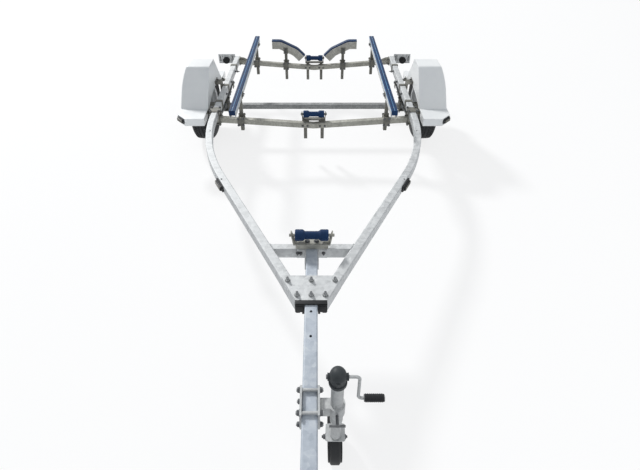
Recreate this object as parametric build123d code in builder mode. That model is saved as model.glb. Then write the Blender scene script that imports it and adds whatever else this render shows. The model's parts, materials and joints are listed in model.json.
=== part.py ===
from build123d import *
from math import atan2, cos, radians, sin, tan
import os

os.makedirs("parts", exist_ok=True)

# Boat trailer, single axle. Millimetres. +X is the right-hand side seen from the front,
# +Y runs from the coupling to the tail, +Z is up. The ground is Z = 0 and the origin is
# the middle of the overall length and width.

# ---------------------------------------------------------------- driving dimensions
LENGTH = 4700.0
NOSE_Y = -LENGTH / 2
TAIL_Y = LENGTH / 2

RAIL_W = 50.0
RAIL_H = 65.0
RAIL_WALL = 3.0
RAIL_TOP = 464.0
RAIL_BOTTOM = RAIL_TOP - RAIL_H
RAIL_X = 808.0                # centre of the straight rear run
RAIL_VERTEX_Y = 478.0         # where the slanted and the straight runs would meet
RAIL_ANGLE = 29.3             # slanted run, measured from the trailer's length
RAIL_BEND_R = 1650.0
RAIL_REAR_Y = 2205.0

DRAWBAR = 60.0
DRAWBAR_WALL = 4.0
DRAWBAR_FRONT_Y = -2235.0
PLATE_FRONT_Y = -880.0
PLATE_REAR_Y = -735.0
PLATE_T = 8.0
CHANNEL_FRONT_Y = -550.0
CHANNEL_DEPTH = 35.0
BRACKET_W = 50.0              # angle brackets that bolt the front channel to the drawbar
BRACKET_LEG = 86.0

AXLE_Y = 1395.0
AXLE_BEAM = 45.0
TYRE_R = 298.0
TYRE_HALF_W = 81.0
TRACK_X = 988.0               # wheel's middle plane
RIM_SEAT_R = 165.0

BEAM = 45.0                   # square section of both V-shaped cross-members
BEAM_WALL = 3.0
FRONT_BEAM_Y = 1000.0
REAR_BEAM_Y = RAIL_REAR_Y - BEAM / 2 - 1
POST = 28.0
POST_BOTTOM = 260.0
CENTRING_POST_BOTTOM = 204.0
BOLT_R = 5.0

SKID_X = 603.0
SKID_TOP = 630.0
SKID_W = 45.0
SKID_STRIP_T = 14.0
SKID_CHANNEL_H = 50.0
SKID_FRONT_Y = 674.0

ROLLER_HALF = 87.0
ROLLER_R = 30.0
ROLLER_WAIST_R = 21.0
PIN_R = 8.0

GUARD_IN_X = 888.0
GUARD_OUT_X = 1118.0
GUARD_HALF = 490.0
GUARD_TOP = 718.0
GUARD_TOP_HALF = 88.0         # half length of the flat crown
GUARD_SLOPE_FOOT = 318.0      # where the slope meets the step, from the axle
GUARD_STEP_Z = 433.0
GUARD_BOTTOM = 370.0
GUARD_LEAN = 34.0             # how far the outer wall leans in at the crown
GUARD_LEAN_Z = 540.0          # the outer wall is upright below this
GUARD_T = 4.0

JOCKEY_X = 102.0
JOCKEY_Y = -1336.0
JOCKEY_WHEEL_R = 100.0
WINCH_POST_Y = -1920.0


def front_plane(y):
    """Plane across the trailer at y: its x is X, its y is Z, and it faces the coupling."""
    return Plane(origin=(0, y, 0), x_dir=(1, 0, 0), z_dir=(0, -1, 0))


def side_plane(x):
    """Plane along the trailer at x: its x is Y, its y is Z, and it faces +X."""
    return Plane(origin=(x, 0, 0), x_dir=(0, 1, 0), z_dir=(1, 0, 0))


def box_tube(width, height, wall, corner):
    """Section of a rolled hollow box, drawn in the sketch that is open."""
    RectangleRounded(width, height, corner)
    RectangleRounded(width - 2 * wall, height - 2 * wall, corner - wall + 0.5, mode=Mode.SUBTRACT)


def save(piece, label):
    piece.part.label = label
    export_step(piece.part, f"parts/{label}.step")


# ---------------------------------------------------------------- main rails
slope = tan(radians(RAIL_ANGLE))
rail_front_y = PLATE_FRONT_Y
rail_front_x = RAIL_X - (RAIL_VERTEX_Y - rail_front_y) * slope
overshoot = 40.0
rail_points = [
    (rail_front_x - overshoot * slope, rail_front_y - overshoot),
    (RAIL_X, RAIL_VERTEX_Y),
    (RAIL_X, RAIL_REAR_Y),
]
rail_mid_z = (RAIL_TOP + RAIL_BOTTOM) / 2
rail_start = Plane(
    origin=(rail_points[0][0], rail_points[0][1], rail_mid_z),
    x_dir=(cos(radians(RAIL_ANGLE)), -sin(radians(RAIL_ANGLE)), 0),
    z_dir=(sin(radians(RAIL_ANGLE)), cos(radians(RAIL_ANGLE)), 0),
)

with BuildPart() as rail_envelope:
    with BuildLine(Plane.XY.offset(rail_mid_z)) as rail_path:
        FilletPolyline(*rail_points, radius=RAIL_BEND_R)
    with BuildSketch(rail_start):
        Rectangle(RAIL_W, RAIL_H)
    sweep(path=rail_path.wires()[0])

with BuildPart() as rail_right:
    with BuildSketch(rail_start):
        box_tube(RAIL_W, RAIL_H, RAIL_WALL, 6)
    sweep(path=rail_path.wires()[0])
    # front end cut square, and mitred against the drawbar's side
    with Locations((0, rail_front_y - 100, rail_mid_z)):
        Box(600, 200, RAIL_H + 2, mode=Mode.SUBTRACT)
    with Locations((0, rail_front_y, rail_mid_z)):
        Box(DRAWBAR, 400, RAIL_H + 2, mode=Mode.SUBTRACT)
    # drain and wiring holes through the top wall: x, y
    with Locations((587, 59, RAIL_TOP), (782, 667, RAIL_TOP)):
        Cylinder(6, 3 * RAIL_WALL, mode=Mode.SUBTRACT)
save(rail_right, "rail_right")

with BuildPart() as rail_left:
    mirror(rail_right.part, about=Plane.YZ)
save(rail_left, "rail_left")

# ---------------------------------------------------------------- drawbar and junction
with BuildPart() as drawbar:
    with BuildSketch(front_plane(CHANNEL_FRONT_Y)):
        with Locations((0, rail_mid_z)):
            box_tube(DRAWBAR, RAIL_H, DRAWBAR_WALL, 7)
    extrude(amount=CHANNEL_FRONT_Y - DRAWBAR_FRONT_Y)
    # holes in the top wall, on the centre line
    with Locations((0, -935, RAIL_TOP), (0, -1059, RAIL_TOP)):
        Cylinder(6, 3 * DRAWBAR_WALL, mode=Mode.SUBTRACT)
save(drawbar, "drawbar")

plate_front_half = 73.0
plate_rear_half = 152.0
# x, y of the six clamping bolts through both plates
plate_bolts = [(0, -852), (66, -852), (-66, -852), (0, -766), (115, -766), (-115, -766)]
with BuildPart() as junction_plates:
    for plate_bottom in (RAIL_TOP, RAIL_BOTTOM - PLATE_T):
        with BuildSketch(Plane.XY.offset(plate_bottom)) as plate_outline:
            with BuildLine():
                Polyline(
                    (plate_front_half, PLATE_FRONT_Y),
                    (plate_rear_half, PLATE_REAR_Y),
                    (-plate_rear_half, PLATE_REAR_Y),
                    (-plate_front_half, PLATE_FRONT_Y),
                    close=True,
                )
            make_face()
            fillet(plate_outline.vertices(), 6)
        extrude(amount=PLATE_T)
    # threaded end and nut above, bolt head below
    for x, y in plate_bolts:
        with Locations((x, y, RAIL_TOP + PLATE_T)):
            Cylinder(6, 22, align=(Align.CENTER, Align.CENTER, Align.MIN))
        with BuildSketch(Plane.XY.offset(RAIL_TOP + PLATE_T)):
            with Locations((x, y)):
                RegularPolygon(11, 6)
        extrude(amount=10)
        with BuildSketch(Plane.XY.offset(RAIL_BOTTOM - PLATE_T)):
            with Locations((x, y)):
                RegularPolygon(11, 6)
        extrude(amount=-7)
save(junction_plates, "junction_plates")

with BuildPart() as front_channel:
    channel_half = 225.0
    with BuildSketch(side_plane(-channel_half)):
        with Locations((CHANNEL_FRONT_Y + CHANNEL_DEPTH / 2, rail_mid_z)):
            Rectangle(CHANNEL_DEPTH, RAIL_H)
        with Locations((CHANNEL_FRONT_Y + CHANNEL_DEPTH / 2 + 4, rail_mid_z)):
            Rectangle(CHANNEL_DEPTH, RAIL_H - 8, mode=Mode.SUBTRACT)
    extrude(amount=2 * channel_half)
    add(rail_envelope.part, mode=Mode.SUBTRACT)
    add(mirror(rail_envelope.part, about=Plane.YZ, mode=Mode.PRIVATE), mode=Mode.SUBTRACT)
    # angle brackets that bolt the channel to the drawbar's sides
    for side in (1, -1):
        with Locations((side * (DRAWBAR / 2 + BRACKET_W / 2), CHANNEL_FRONT_Y - 3, rail_mid_z)):
            Box(BRACKET_W, 6, 58)
        with Locations((side * (DRAWBAR / 2 + 3), CHANNEL_FRONT_Y - BRACKET_LEG / 2, rail_mid_z)):
            Box(6, BRACKET_LEG, 58)
save(front_channel, "front_channel")

# ---------------------------------------------------------------- cross-members
front_beam_mid = RAIL_BOTTOM - BEAM / 2
front_beam_drop = 55.0
flat_end = 60.0
front_beam_points = [
    (-RAIL_X - RAIL_W / 2, front_beam_mid),
    (-RAIL_X + flat_end, front_beam_mid),
    (0, front_beam_mid - front_beam_drop),
    (RAIL_X - flat_end, front_beam_mid),
    (RAIL_X + RAIL_W / 2, front_beam_mid),
]
with BuildPart() as cross_member_front:
    with BuildLine(front_plane(FRONT_BEAM_Y)) as front_beam_path:
        FilletPolyline(*front_beam_points, radius=150)
    with BuildSketch(side_plane(-RAIL_X - RAIL_W / 2)):
        with Locations((FRONT_BEAM_Y, front_beam_mid)):
            box_tube(BEAM, BEAM, BEAM_WALL, 5)
    sweep(path=front_beam_path.wires()[0])
save(cross_member_front, "cross_member_front")

rear_beam_end_x = RAIL_X - RAIL_W / 2 - 6
rear_beam_end_z = 411.0
rear_beam_mid_z = 346.0
rear_slope = atan2(rear_beam_mid_z - rear_beam_end_z, rear_beam_end_x)
with BuildPart() as cross_member_rear:
    with BuildLine(front_plane(REAR_BEAM_Y)) as rear_beam_path:
        FilletPolyline(
            (-rear_beam_end_x - 3, rear_beam_end_z - 3 * tan(rear_slope)),
            (0, rear_beam_mid_z),
            (rear_beam_end_x + 3, rear_beam_end_z - 3 * tan(rear_slope)),
            radius=150,
        )
    with BuildSketch(
        Plane(
            origin=(-rear_beam_end_x - 3, REAR_BEAM_Y, rear_beam_end_z - 3 * tan(rear_slope)),
            x_dir=(0, 1, 0),
            z_dir=(cos(rear_slope), 0, sin(rear_slope)),
        )
    ):
        box_tube(BEAM, BEAM, BEAM_WALL, 5)
    sweep(path=rear_beam_path.wires()[0])
    # end plates against the rails, with a gusset above the beam
    rail_inside = RAIL_X - RAIL_W / 2
    for side in (1, -1):
        with Locations((side * (rail_inside - 3), REAR_BEAM_Y - 12, 424)):
            Box(6, 70, 78)
        with BuildSketch(front_plane(REAR_BEAM_Y + 3)):
            with BuildLine():
                Polyline(
                    (side * (rail_inside - 3), RAIL_TOP - 2),
                    (side * (rail_inside - 40), RAIL_TOP - 6),
                    (side * (rail_inside - 123), 420),
                    (side * (rail_inside - 3), 420),
                    close=True,
                )
            make_face()
        extrude(amount=6)
save(cross_member_rear, "cross_member_rear")

# ---------------------------------------------------------------- axle, springs, hangers
spindle_r = 16.0
beam_end_x = 862.0
with BuildPart() as axle_beam:
    with BuildSketch(side_plane(-beam_end_x)):
        with Locations((AXLE_Y, TYRE_R)):
            RectangleRounded(AXLE_BEAM, AXLE_BEAM, 3)
    extrude(amount=2 * beam_end_x)
    for side in (1, -1):
        with BuildSketch(side_plane(side * beam_end_x)):
            with Locations((AXLE_Y, TYRE_R)):
                Circle(22)
        extrude(amount=side * 16)
        with BuildSketch(side_plane(side * beam_end_x)):
            with Locations((AXLE_Y, TYRE_R)):
                Circle(spindle_r)
        extrude(amount=side * 128)
save(axle_beam, "axle_beam")

SPRING_HALF = 330.0
LEAF_T = 7.0
LEAF_W = 45.0
spring_seat_z = TYRE_R + AXLE_BEAM / 2 + 6
eye_rise = 24.0
# half length of each leaf, longest on top
leaf_halves = [SPRING_HALF, 270.0, 190.0, 110.0]
spring_r = (SPRING_HALF**2 + eye_rise**2) / (2 * eye_rise)
spring_top = spring_seat_z + len(leaf_halves) * LEAF_T
eye_z = spring_top + eye_rise - LEAF_T / 2


def leaf_z(y_offset, z_at_middle):
    """Height of a leaf's curve at a distance from the axle."""
    return z_at_middle + spring_r - (spring_r**2 - y_offset**2) ** 0.5


with BuildPart() as leaf_springs:
    for index, half in enumerate(leaf_halves):
        top = spring_top - index * LEAF_T
        with BuildSketch(side_plane(RAIL_X - LEAF_W / 2)):
            with BuildLine():
                upper = ThreePointArc(
                    (AXLE_Y - half, leaf_z(half, top)),
                    (AXLE_Y, top),
                    (AXLE_Y + half, leaf_z(half, top)),
                )
                lower = ThreePointArc(
                    (AXLE_Y - half, leaf_z(half, top - LEAF_T)),
                    (AXLE_Y, top - LEAF_T),
                    (AXLE_Y + half, leaf_z(half, top - LEAF_T)),
                )
                Line(upper @ 0, lower @ 0)
                Line(upper @ 1, lower @ 1)
            make_face()
        extrude(amount=LEAF_W)
    # rolled eye at the front end
    with BuildSketch(side_plane(RAIL_X - LEAF_W / 2)):
        with Locations((AXLE_Y - SPRING_HALF, eye_z)):
            Circle(15)
    extrude(amount=LEAF_W)
    with BuildSketch(side_plane(RAIL_X - LEAF_W / 2)):
        with Locations((AXLE_Y - SPRING_HALF, eye_z)):
            Circle(8.05)
    extrude(amount=LEAF_W, mode=Mode.SUBTRACT)
    mirror(about=Plane.YZ)
save(leaf_springs, "leaf_springs")

with BuildPart() as spring_hangers:
    for side in (1, -1):
        for hanger_y, pin_z in ((AXLE_Y - SPRING_HALF, eye_z), (AXLE_Y + SPRING_HALF - 20, eye_z + 14)):
            with BuildSketch(front_plane(hanger_y + 24)):
                with Locations((side * RAIL_X, RAIL_BOTTOM - 3)):
                    Rectangle(LEAF_W + 14, 6)
                for cheek in (1, -1):
                    with Locations((side * RAIL_X + cheek * (LEAF_W / 2 + 4.5), RAIL_BOTTOM - 32)):
                        Rectangle(5, 64)
            extrude(amount=48)
            with Locations((side * RAIL_X, hanger_y, pin_z)):
                Cylinder(8, LEAF_W + 26, rotation=(0, 90, 0))
save(spring_hangers, "spring_hangers")

with BuildPart() as axle_clamps:
    for side in (1, -1):
        clamp_x = side * RAIL_X
        with Locations((clamp_x, AXLE_Y, spring_seat_z - 3)):
            Box(56, 100, 6)
        with Locations((clamp_x, AXLE_Y, spring_top + 4.7)):
            Box(76, 100, 8)
        with Locations((clamp_x, AXLE_Y, TYRE_R - AXLE_BEAM / 2 - 4)):
            Box(76, 100, 8)
        for dx in (-30, 30):
            for dy in (-34, 34):
                with Locations((clamp_x + dx, AXLE_Y + dy, (TYRE_R + spring_top) / 2 - 12)):
                    Cylinder(5, spring_top - TYRE_R + 75)
save(axle_clamps, "axle_clamps")

# straps over the rails: middle y, width, how far the legs reach below the rail
strap_rows = [
    (1164.0, 30.0, 12.0),
    (1486.0, 30.0, 12.0),
    (1961.0, 30.0, 12.0),
]
clamp_plate = 6.0
with BuildPart() as frame_clamps:
    for side in (1, -1):
        for strap_y, strap_w, drop in strap_rows:
            with BuildSketch(front_plane(strap_y + strap_w / 2)):
                with Locations((side * RAIL_X, RAIL_TOP + 5 - (RAIL_H + drop + 5) / 2)):
                    Rectangle(RAIL_W + 10, RAIL_H + drop + 5)
                with Locations((side * RAIL_X, RAIL_TOP - (RAIL_H + drop) / 2)):
                    Rectangle(RAIL_W, RAIL_H + drop, mode=Mode.SUBTRACT)
            extrude(amount=strap_w)
        # plates and four bolts that clamp the front cross-member under the rail
        for plate_z in (RAIL_TOP + clamp_plate / 2, RAIL_BOTTOM - BEAM - clamp_plate / 2):
            with Locations((side * RAIL_X, FRONT_BEAM_Y, plate_z)):
                Box(RAIL_W + 32, BEAM + 34, clamp_plate)
        for dx in (-RAIL_W / 2 - 8, RAIL_W / 2 + 8):
            for dy in (-BEAM / 2 - 8, BEAM / 2 + 8):
                with Locations((side * RAIL_X + dx, FRONT_BEAM_Y + dy, RAIL_BOTTOM - BEAM - 18)):
                    Cylinder(BOLT_R, RAIL_H + BEAM + 32, align=(Align.CENTER, Align.CENTER, Align.MIN))
save(frame_clamps, "frame_clamps")

# ---------------------------------------------------------------- mudguards
arch_r = 692.0
arch_top_z = 486.0
step_chamfer = 76.0


def guard_block(inset):
    """Moulded form of the guard, or of the space inside it when the inset is the wall's thickness."""
    outer_x = GUARD_OUT_X - inset
    top_z = GUARD_TOP - inset
    step_z = GUARD_STEP_Z - inset
    # the slope keeps its distance when the outline shrinks
    slope_shift = 0.47 * inset
    half_outline = [
        (GUARD_HALF - inset, GUARD_BOTTOM - 5 * inset),
        (GUARD_HALF - inset, step_z),
        (GUARD_SLOPE_FOOT - slope_shift, step_z),
        (GUARD_TOP_HALF - slope_shift, top_z),
    ]
    outline = half_outline + [(-y, z) for y, z in reversed(half_outline)]
    with BuildPart() as block:
        with BuildSketch(side_plane(GUARD_IN_X + inset)):
            with BuildLine():
                Polyline(*[(AXLE_Y + y, z) for y, z in outline], close=True)
            make_face()
        extrude(amount=outer_x - GUARD_IN_X - inset)
        # cross-section with the outer wall that leans in towards the crown
        with BuildSketch(front_plane(AXLE_Y + GUARD_HALF + 5)):
            with BuildLine():
                Polyline(
                    (outer_x - GUARD_LEAN, top_z), (GUARD_IN_X, top_z), (GUARD_IN_X, 0), (outer_x, 0),
                    (outer_x, GUARD_LEAN_Z),
                )
                TangentArc((outer_x, GUARD_LEAN_Z), (outer_x - GUARD_LEAN, top_z), tangent=(0, 1))
            make_face()
        extrude(amount=2 * GUARD_HALF + 10, mode=Mode.INTERSECT)
        uprights = block.edges().filter_by(Axis.Z).filter_by_position(Axis.X, outer_x - 1, outer_x + 1)
        chamfer(uprights.filter_by_position(Axis.Z, 0, step_z), step_chamfer - 0.6 * inset)
        crown = block.edges().filter_by(Axis.X).filter_by_position(Axis.Z, top_z - 1, top_z + 1)
        fillet(crown, 34 - inset)
        outer_edges = block.edges().filter_by_position(Axis.X, outer_x - GUARD_LEAN - 1, outer_x + 1)
        rim = outer_edges.filter_by_position(Axis.Z, step_z + 2, top_z + 1)
        fillet([edge for edge in rim if abs(edge.center().Z - GUARD_LEAN_Z) > 1], 14 - inset)
    return block.part


guard_outer = guard_block(0)
guard_core = guard_block(GUARD_T)
with BuildPart() as guard_right:
    add(guard_outer)
    add(guard_core, mode=Mode.SUBTRACT)
    # arch in both side walls
    with BuildSketch(side_plane(GUARD_IN_X - 5)):
        with Locations((AXLE_Y, arch_top_z - arch_r)):
            Circle(arch_r)
    extrude(amount=GUARD_OUT_X - GUARD_IN_X + 10, mode=Mode.SUBTRACT)
save(guard_right, "guard_right")

with BuildPart() as guard_left:
    mirror(guard_right.part, about=Plane.YZ)
save(guard_left, "guard_left")

# brackets from the rail to the guard's inner wall: y, width, height of the shelf, gap to the
# rail's side (the middle one is held by the strap that goes over the rail)
guard_bracket_rows = [(1066.0, 50.0, 405.0, 0), (1474.0, 100.0, 500.0, 5), (1731.0, 50.0, 405.0, 0)]
bracket_t = 5.0
with BuildPart() as guard_brackets:
    for bracket_y, bracket_w, shelf_z, gap in guard_bracket_rows:
        leg_x = RAIL_X + RAIL_W / 2 + gap
        with BuildSketch(front_plane(bracket_y + bracket_w / 2)):
            with Locations(((leg_x + GUARD_IN_X) / 2, shelf_z)):
                Rectangle(GUARD_IN_X - leg_x, bracket_t)
            with Locations((leg_x + bracket_t / 2, (shelf_z + rail_mid_z) / 2)):
                Rectangle(bracket_t, abs(shelf_z - rail_mid_z) + bracket_t)
            with Locations((GUARD_IN_X - bracket_t / 2, shelf_z + 11.5)):
                Rectangle(bracket_t, 28)
        extrude(amount=bracket_w)
    mirror(about=Plane.YZ)
save(guard_brackets, "guard_brackets")

lamp_mid_x = GUARD_OUT_X - step_chamfer / 2
lamp_mid_y = AXLE_Y - GUARD_HALF + step_chamfer / 2
with BuildPart() as guard_lamps:
    lamp_plane = Plane(
        origin=(lamp_mid_x, lamp_mid_y, (GUARD_STEP_Z + GUARD_BOTTOM) / 2 + 2),
        x_dir=(sin(radians(45)), cos(radians(45)), 0),
        z_dir=(sin(radians(45)), -cos(radians(45)), 0),
    )
    with BuildSketch(lamp_plane):
        RectangleRounded(92, 42, 10)
    extrude(amount=9)
    with BuildSketch(lamp_plane.offset(9)):
        RectangleRounded(80, 32, 8)
    extrude(amount=9, taper=12)
    mirror(about=Plane.YZ)
save(guard_lamps, "guard_lamps")

marker_y = 49.0
marker_x = RAIL_X - (RAIL_VERTEX_Y - marker_y) * slope
marker_plane = Plane(
    origin=(
        marker_x + RAIL_W / 2 * cos(radians(RAIL_ANGLE)),
        marker_y - RAIL_W / 2 * sin(radians(RAIL_ANGLE)),
        rail_mid_z + 4,
    ),
    x_dir=(sin(radians(RAIL_ANGLE)), cos(radians(RAIL_ANGLE)), 0),
    z_dir=(cos(radians(RAIL_ANGLE)), -sin(radians(RAIL_ANGLE)), 0),
)
with BuildPart() as side_marker_lamps:
    with BuildSketch(marker_plane):
        RectangleRounded(118, 46, 12)
    extrude(amount=10)
    with BuildSketch(marker_plane.offset(10)):
        RectangleRounded(100, 32, 9)
    extrude(amount=12, taper=14)
    mirror(about=Plane.YZ)
save(side_marker_lamps, "side_marker_lamps")

tail_plate_in = RAIL_X + RAIL_W / 2
tail_plate_out = 1007.0
tail_plate_z = 436.0
tail_plate_h = 100.0
with BuildPart() as tail_lamp_plates:
    with BuildSketch(front_plane(RAIL_REAR_Y)):
        with Locations(((tail_plate_in + tail_plate_out) / 2, tail_plate_z)):
            RectangleRounded(tail_plate_out - tail_plate_in, tail_plate_h, 5)
        # slots beside the lamp's body
        with Locations((tail_plate_in + 26, tail_plate_z), (tail_plate_out - 22, tail_plate_z)):
            SlotOverall(60, 9, rotation=90, mode=Mode.SUBTRACT)
    extrude(amount=4)
    with BuildSketch(front_plane(RAIL_REAR_Y)):
        with Locations((tail_plate_in + 2, tail_plate_z)):
            Rectangle(4, 60)
    extrude(amount=60)
    mirror(about=Plane.YZ)
save(tail_lamp_plates, "tail_lamp_plates")

tail_lamp_x = 925.0
with BuildPart() as tail_lamps:
    with BuildSketch(front_plane(RAIL_REAR_Y)):
        with Locations((tail_lamp_x, tail_plate_z)):
            RectangleRounded(150, 80, 8)
    extrude(amount=-16)
    with BuildSketch(front_plane(RAIL_REAR_Y + 16)):
        with Locations((tail_lamp_x, tail_plate_z)):
            RectangleRounded(140, 70, 6)
    extrude(amount=-16, taper=10)
    # body of the lamp that passes through the plate
    with BuildSketch(front_plane(RAIL_REAR_Y - 4)):
        with Locations((tail_lamp_x, tail_plate_z - 12)):
            Circle(34)
    extrude(amount=22)
    mirror(about=Plane.YZ)
save(tail_lamps, "tail_lamps")

# ---------------------------------------------------------------- skids and their posts
skid_channel_top = SKID_TOP - SKID_STRIP_T
skid_channel_bottom = skid_channel_top - SKID_CHANNEL_H
with BuildPart() as skid_channels:
    with BuildSketch(front_plane(TAIL_Y - 6)):
        with Locations((SKID_X, (skid_channel_top + skid_channel_bottom) / 2)):
            Rectangle(SKID_W, SKID_CHANNEL_H)
        with Locations((SKID_X, (skid_channel_top + skid_channel_bottom) / 2 - 3)):
            Rectangle(SKID_W - 6, SKID_CHANNEL_H, mode=Mode.SUBTRACT)
    extrude(amount=TAIL_Y - 6 - SKID_FRONT_Y - 6)
    mirror(about=Plane.YZ)
save(skid_channels, "skid_channels")

nose_cap_h = 26.0
with BuildPart() as skid_strips:
    with BuildSketch(front_plane(TAIL_Y)) as strip_section:
        with Locations((SKID_X, SKID_TOP - SKID_STRIP_T / 2)):
            Rectangle(SKID_W + 2, SKID_STRIP_T)
        fillet(strip_section.vertices().group_by(Axis.Z)[-1], 5)
        # groove between the strip's two running bands
        with Locations((SKID_X, SKID_TOP - 1.5)):
            Rectangle(5, 3, mode=Mode.SUBTRACT)
    extrude(amount=TAIL_Y - SKID_FRONT_Y)
    # nose cap over the upper part of the channel's front end
    with Locations((SKID_X, SKID_FRONT_Y + 3, SKID_TOP - SKID_STRIP_T - nose_cap_h / 2)):
        Box(SKID_W + 2, 6, nose_cap_h)
    mirror(about=Plane.YZ)
save(skid_strips, "skid_strips")

# the posts stand behind their cross-members
front_post_y = FRONT_BEAM_Y + BEAM / 2 + POST / 2
rear_post_y = REAR_BEAM_Y + BEAM / 2 + POST / 2
with BuildPart() as skid_posts:
    for post_y in (front_post_y, rear_post_y):
        with BuildSketch(Plane.XY.offset(POST_BOTTOM)):
            with Locations((SKID_X, post_y)):
                Rectangle(POST, POST)
                Rectangle(POST - 5, POST - 5, mode=Mode.SUBTRACT)
        extrude(amount=skid_channel_bottom - 4 - POST_BOTTOM)
        # saddle that grips the channel
        with BuildSketch(front_plane(post_y + 30)):
            with Locations((SKID_X, skid_channel_bottom + 16)):
                Rectangle(SKID_W + 8, 40)
            with Locations((SKID_X, skid_channel_bottom + 20)):
                Rectangle(SKID_W, 40, mode=Mode.SUBTRACT)
        extrude(amount=60)
    mirror(about=Plane.YZ)
save(skid_posts, "skid_posts")

# ---------------------------------------------------------------- rear centring arms
ARM_W = 45.0
ARM_STRIP_T = 12.0
ARM_DEPTH = 78.0
ARM_WALL = 4.0
# x, z along the running face of the right-hand arm, from its outer end
arm_points = [(437.0, 633.0), (344.0, 633.0), (171.0, 547.0), (98.0, 472.0)]
arm_radii = [120.0, 140.0]
arm_start = Plane(
    origin=(arm_points[0][0], rear_post_y, arm_points[0][1]), x_dir=(0, -1, 0), z_dir=(-1, 0, 0)
)

with BuildPart() as centring_strips:
    with BuildLine(front_plane(rear_post_y)) as arm_path:
        FilletPolyline(*arm_points, radius=arm_radii)
    with BuildSketch(arm_start):
        with Locations((0, -ARM_STRIP_T / 2)):
            Rectangle(ARM_W + 2, ARM_STRIP_T)
    sweep(path=arm_path.wires()[0])
    mirror(about=Plane.YZ)
save(centring_strips, "centring_strips")

with BuildPart() as centring_arms:
    with BuildSketch(arm_start):
        with Locations((0, -ARM_STRIP_T - ARM_DEPTH / 2)):
            Rectangle(ARM_W, ARM_DEPTH)
        with Locations((0, -ARM_STRIP_T - ARM_DEPTH / 2 - ARM_WALL)):
            Rectangle(ARM_W - 2 * ARM_WALL, ARM_DEPTH, mode=Mode.SUBTRACT)
    sweep(path=arm_path.wires()[0])
    mirror(about=Plane.YZ)
save(centring_arms, "centring_arms")

centring_post_x = 298.0
centring_post_top = 532.0
saddle_z = 493.0
with BuildPart() as centring_posts:
    with BuildSketch(Plane.XY.offset(CENTRING_POST_BOTTOM)):
        with Locations((centring_post_x, rear_post_y)):
            Rectangle(POST, POST)
            Rectangle(POST - 5, POST - 5, mode=Mode.SUBTRACT)
    extrude(amount=centring_post_top - CENTRING_POST_BOTTOM)
    # saddle under the arm, with cheeks that bolt to its sides
    with Locations((centring_post_x, rear_post_y, saddle_z + 2)):
        Box(46, ARM_W + 8, 4)
    for dy in (-ARM_W / 2 - 2, ARM_W / 2 + 2):
        with Locations((centring_post_x, rear_post_y + dy, saddle_z + 33)):
            Box(46, 4, 66)
    mirror(about=Plane.YZ)
save(centring_posts, "centring_posts")

roller_stem_x = 71.0


def front_beam_z(x):
    reach = RAIL_X - flat_end
    return front_beam_mid - front_beam_drop * (1 - min(abs(x), reach) / reach)


def rear_beam_z(x):
    return rear_beam_mid_z + (rear_beam_end_z - rear_beam_mid_z) * abs(x) / rear_beam_end_x


# posts held by a plate on either side and four bolts: x, beam y, beam middle z
post_rows = [
    (SKID_X, FRONT_BEAM_Y, front_beam_z(SKID_X)),
    (SKID_X, REAR_BEAM_Y, rear_beam_z(SKID_X)),
    (centring_post_x, REAR_BEAM_Y, rear_beam_z(centring_post_x)),
]
# roller stems held by a plate behind and two bolts through the beam
stem_rows = [
    (roller_stem_x, FRONT_BEAM_Y, front_beam_z(roller_stem_x)),
    (roller_stem_x, REAR_BEAM_Y, rear_beam_z(roller_stem_x)),
]
bolt_reach = 8.0
with BuildPart() as post_clamps:
    for clamp_x, beam_y, beam_z in post_rows:
        front_face = beam_y - BEAM / 2
        rear_face = beam_y + BEAM / 2 + POST
        for plate_y in (front_face - 3, rear_face + 3):
            with Locations((clamp_x, plate_y, beam_z)):
                Box(POST + 26, 6, BEAM + 30)
        for dx in (-POST / 2 - 6, POST / 2 + 6):
            for dz in (-BEAM / 2 - 7, BEAM / 2 + 7):
                with Locations((clamp_x + dx, (front_face + rear_face) / 2, beam_z + dz)):
                    Cylinder(BOLT_R, rear_face - front_face + 12 + 2 * bolt_reach, rotation=(90, 0, 0))
    for clamp_x, beam_y, beam_z in stem_rows:
        front_face = beam_y - BEAM / 2
        rear_face = beam_y + BEAM / 2 + POST
        with Locations((clamp_x, rear_face + 3, beam_z)):
            Box(POST + 26, 6, 26)
        for dx in (-POST / 2 - 6, POST / 2 + 6):
            with Locations((clamp_x + dx, front_face - 3, beam_z)):
                Box(14, 6, 14)
            with Locations((clamp_x + dx, beam_y + (BEAM + POST + 6 + bolt_reach) / 2, beam_z)):
                Cylinder(BOLT_R, POST + 6 + bolt_reach, rotation=(90, 0, 0))
    mirror(about=Plane.YZ)
save(post_clamps, "post_clamps")

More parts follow.
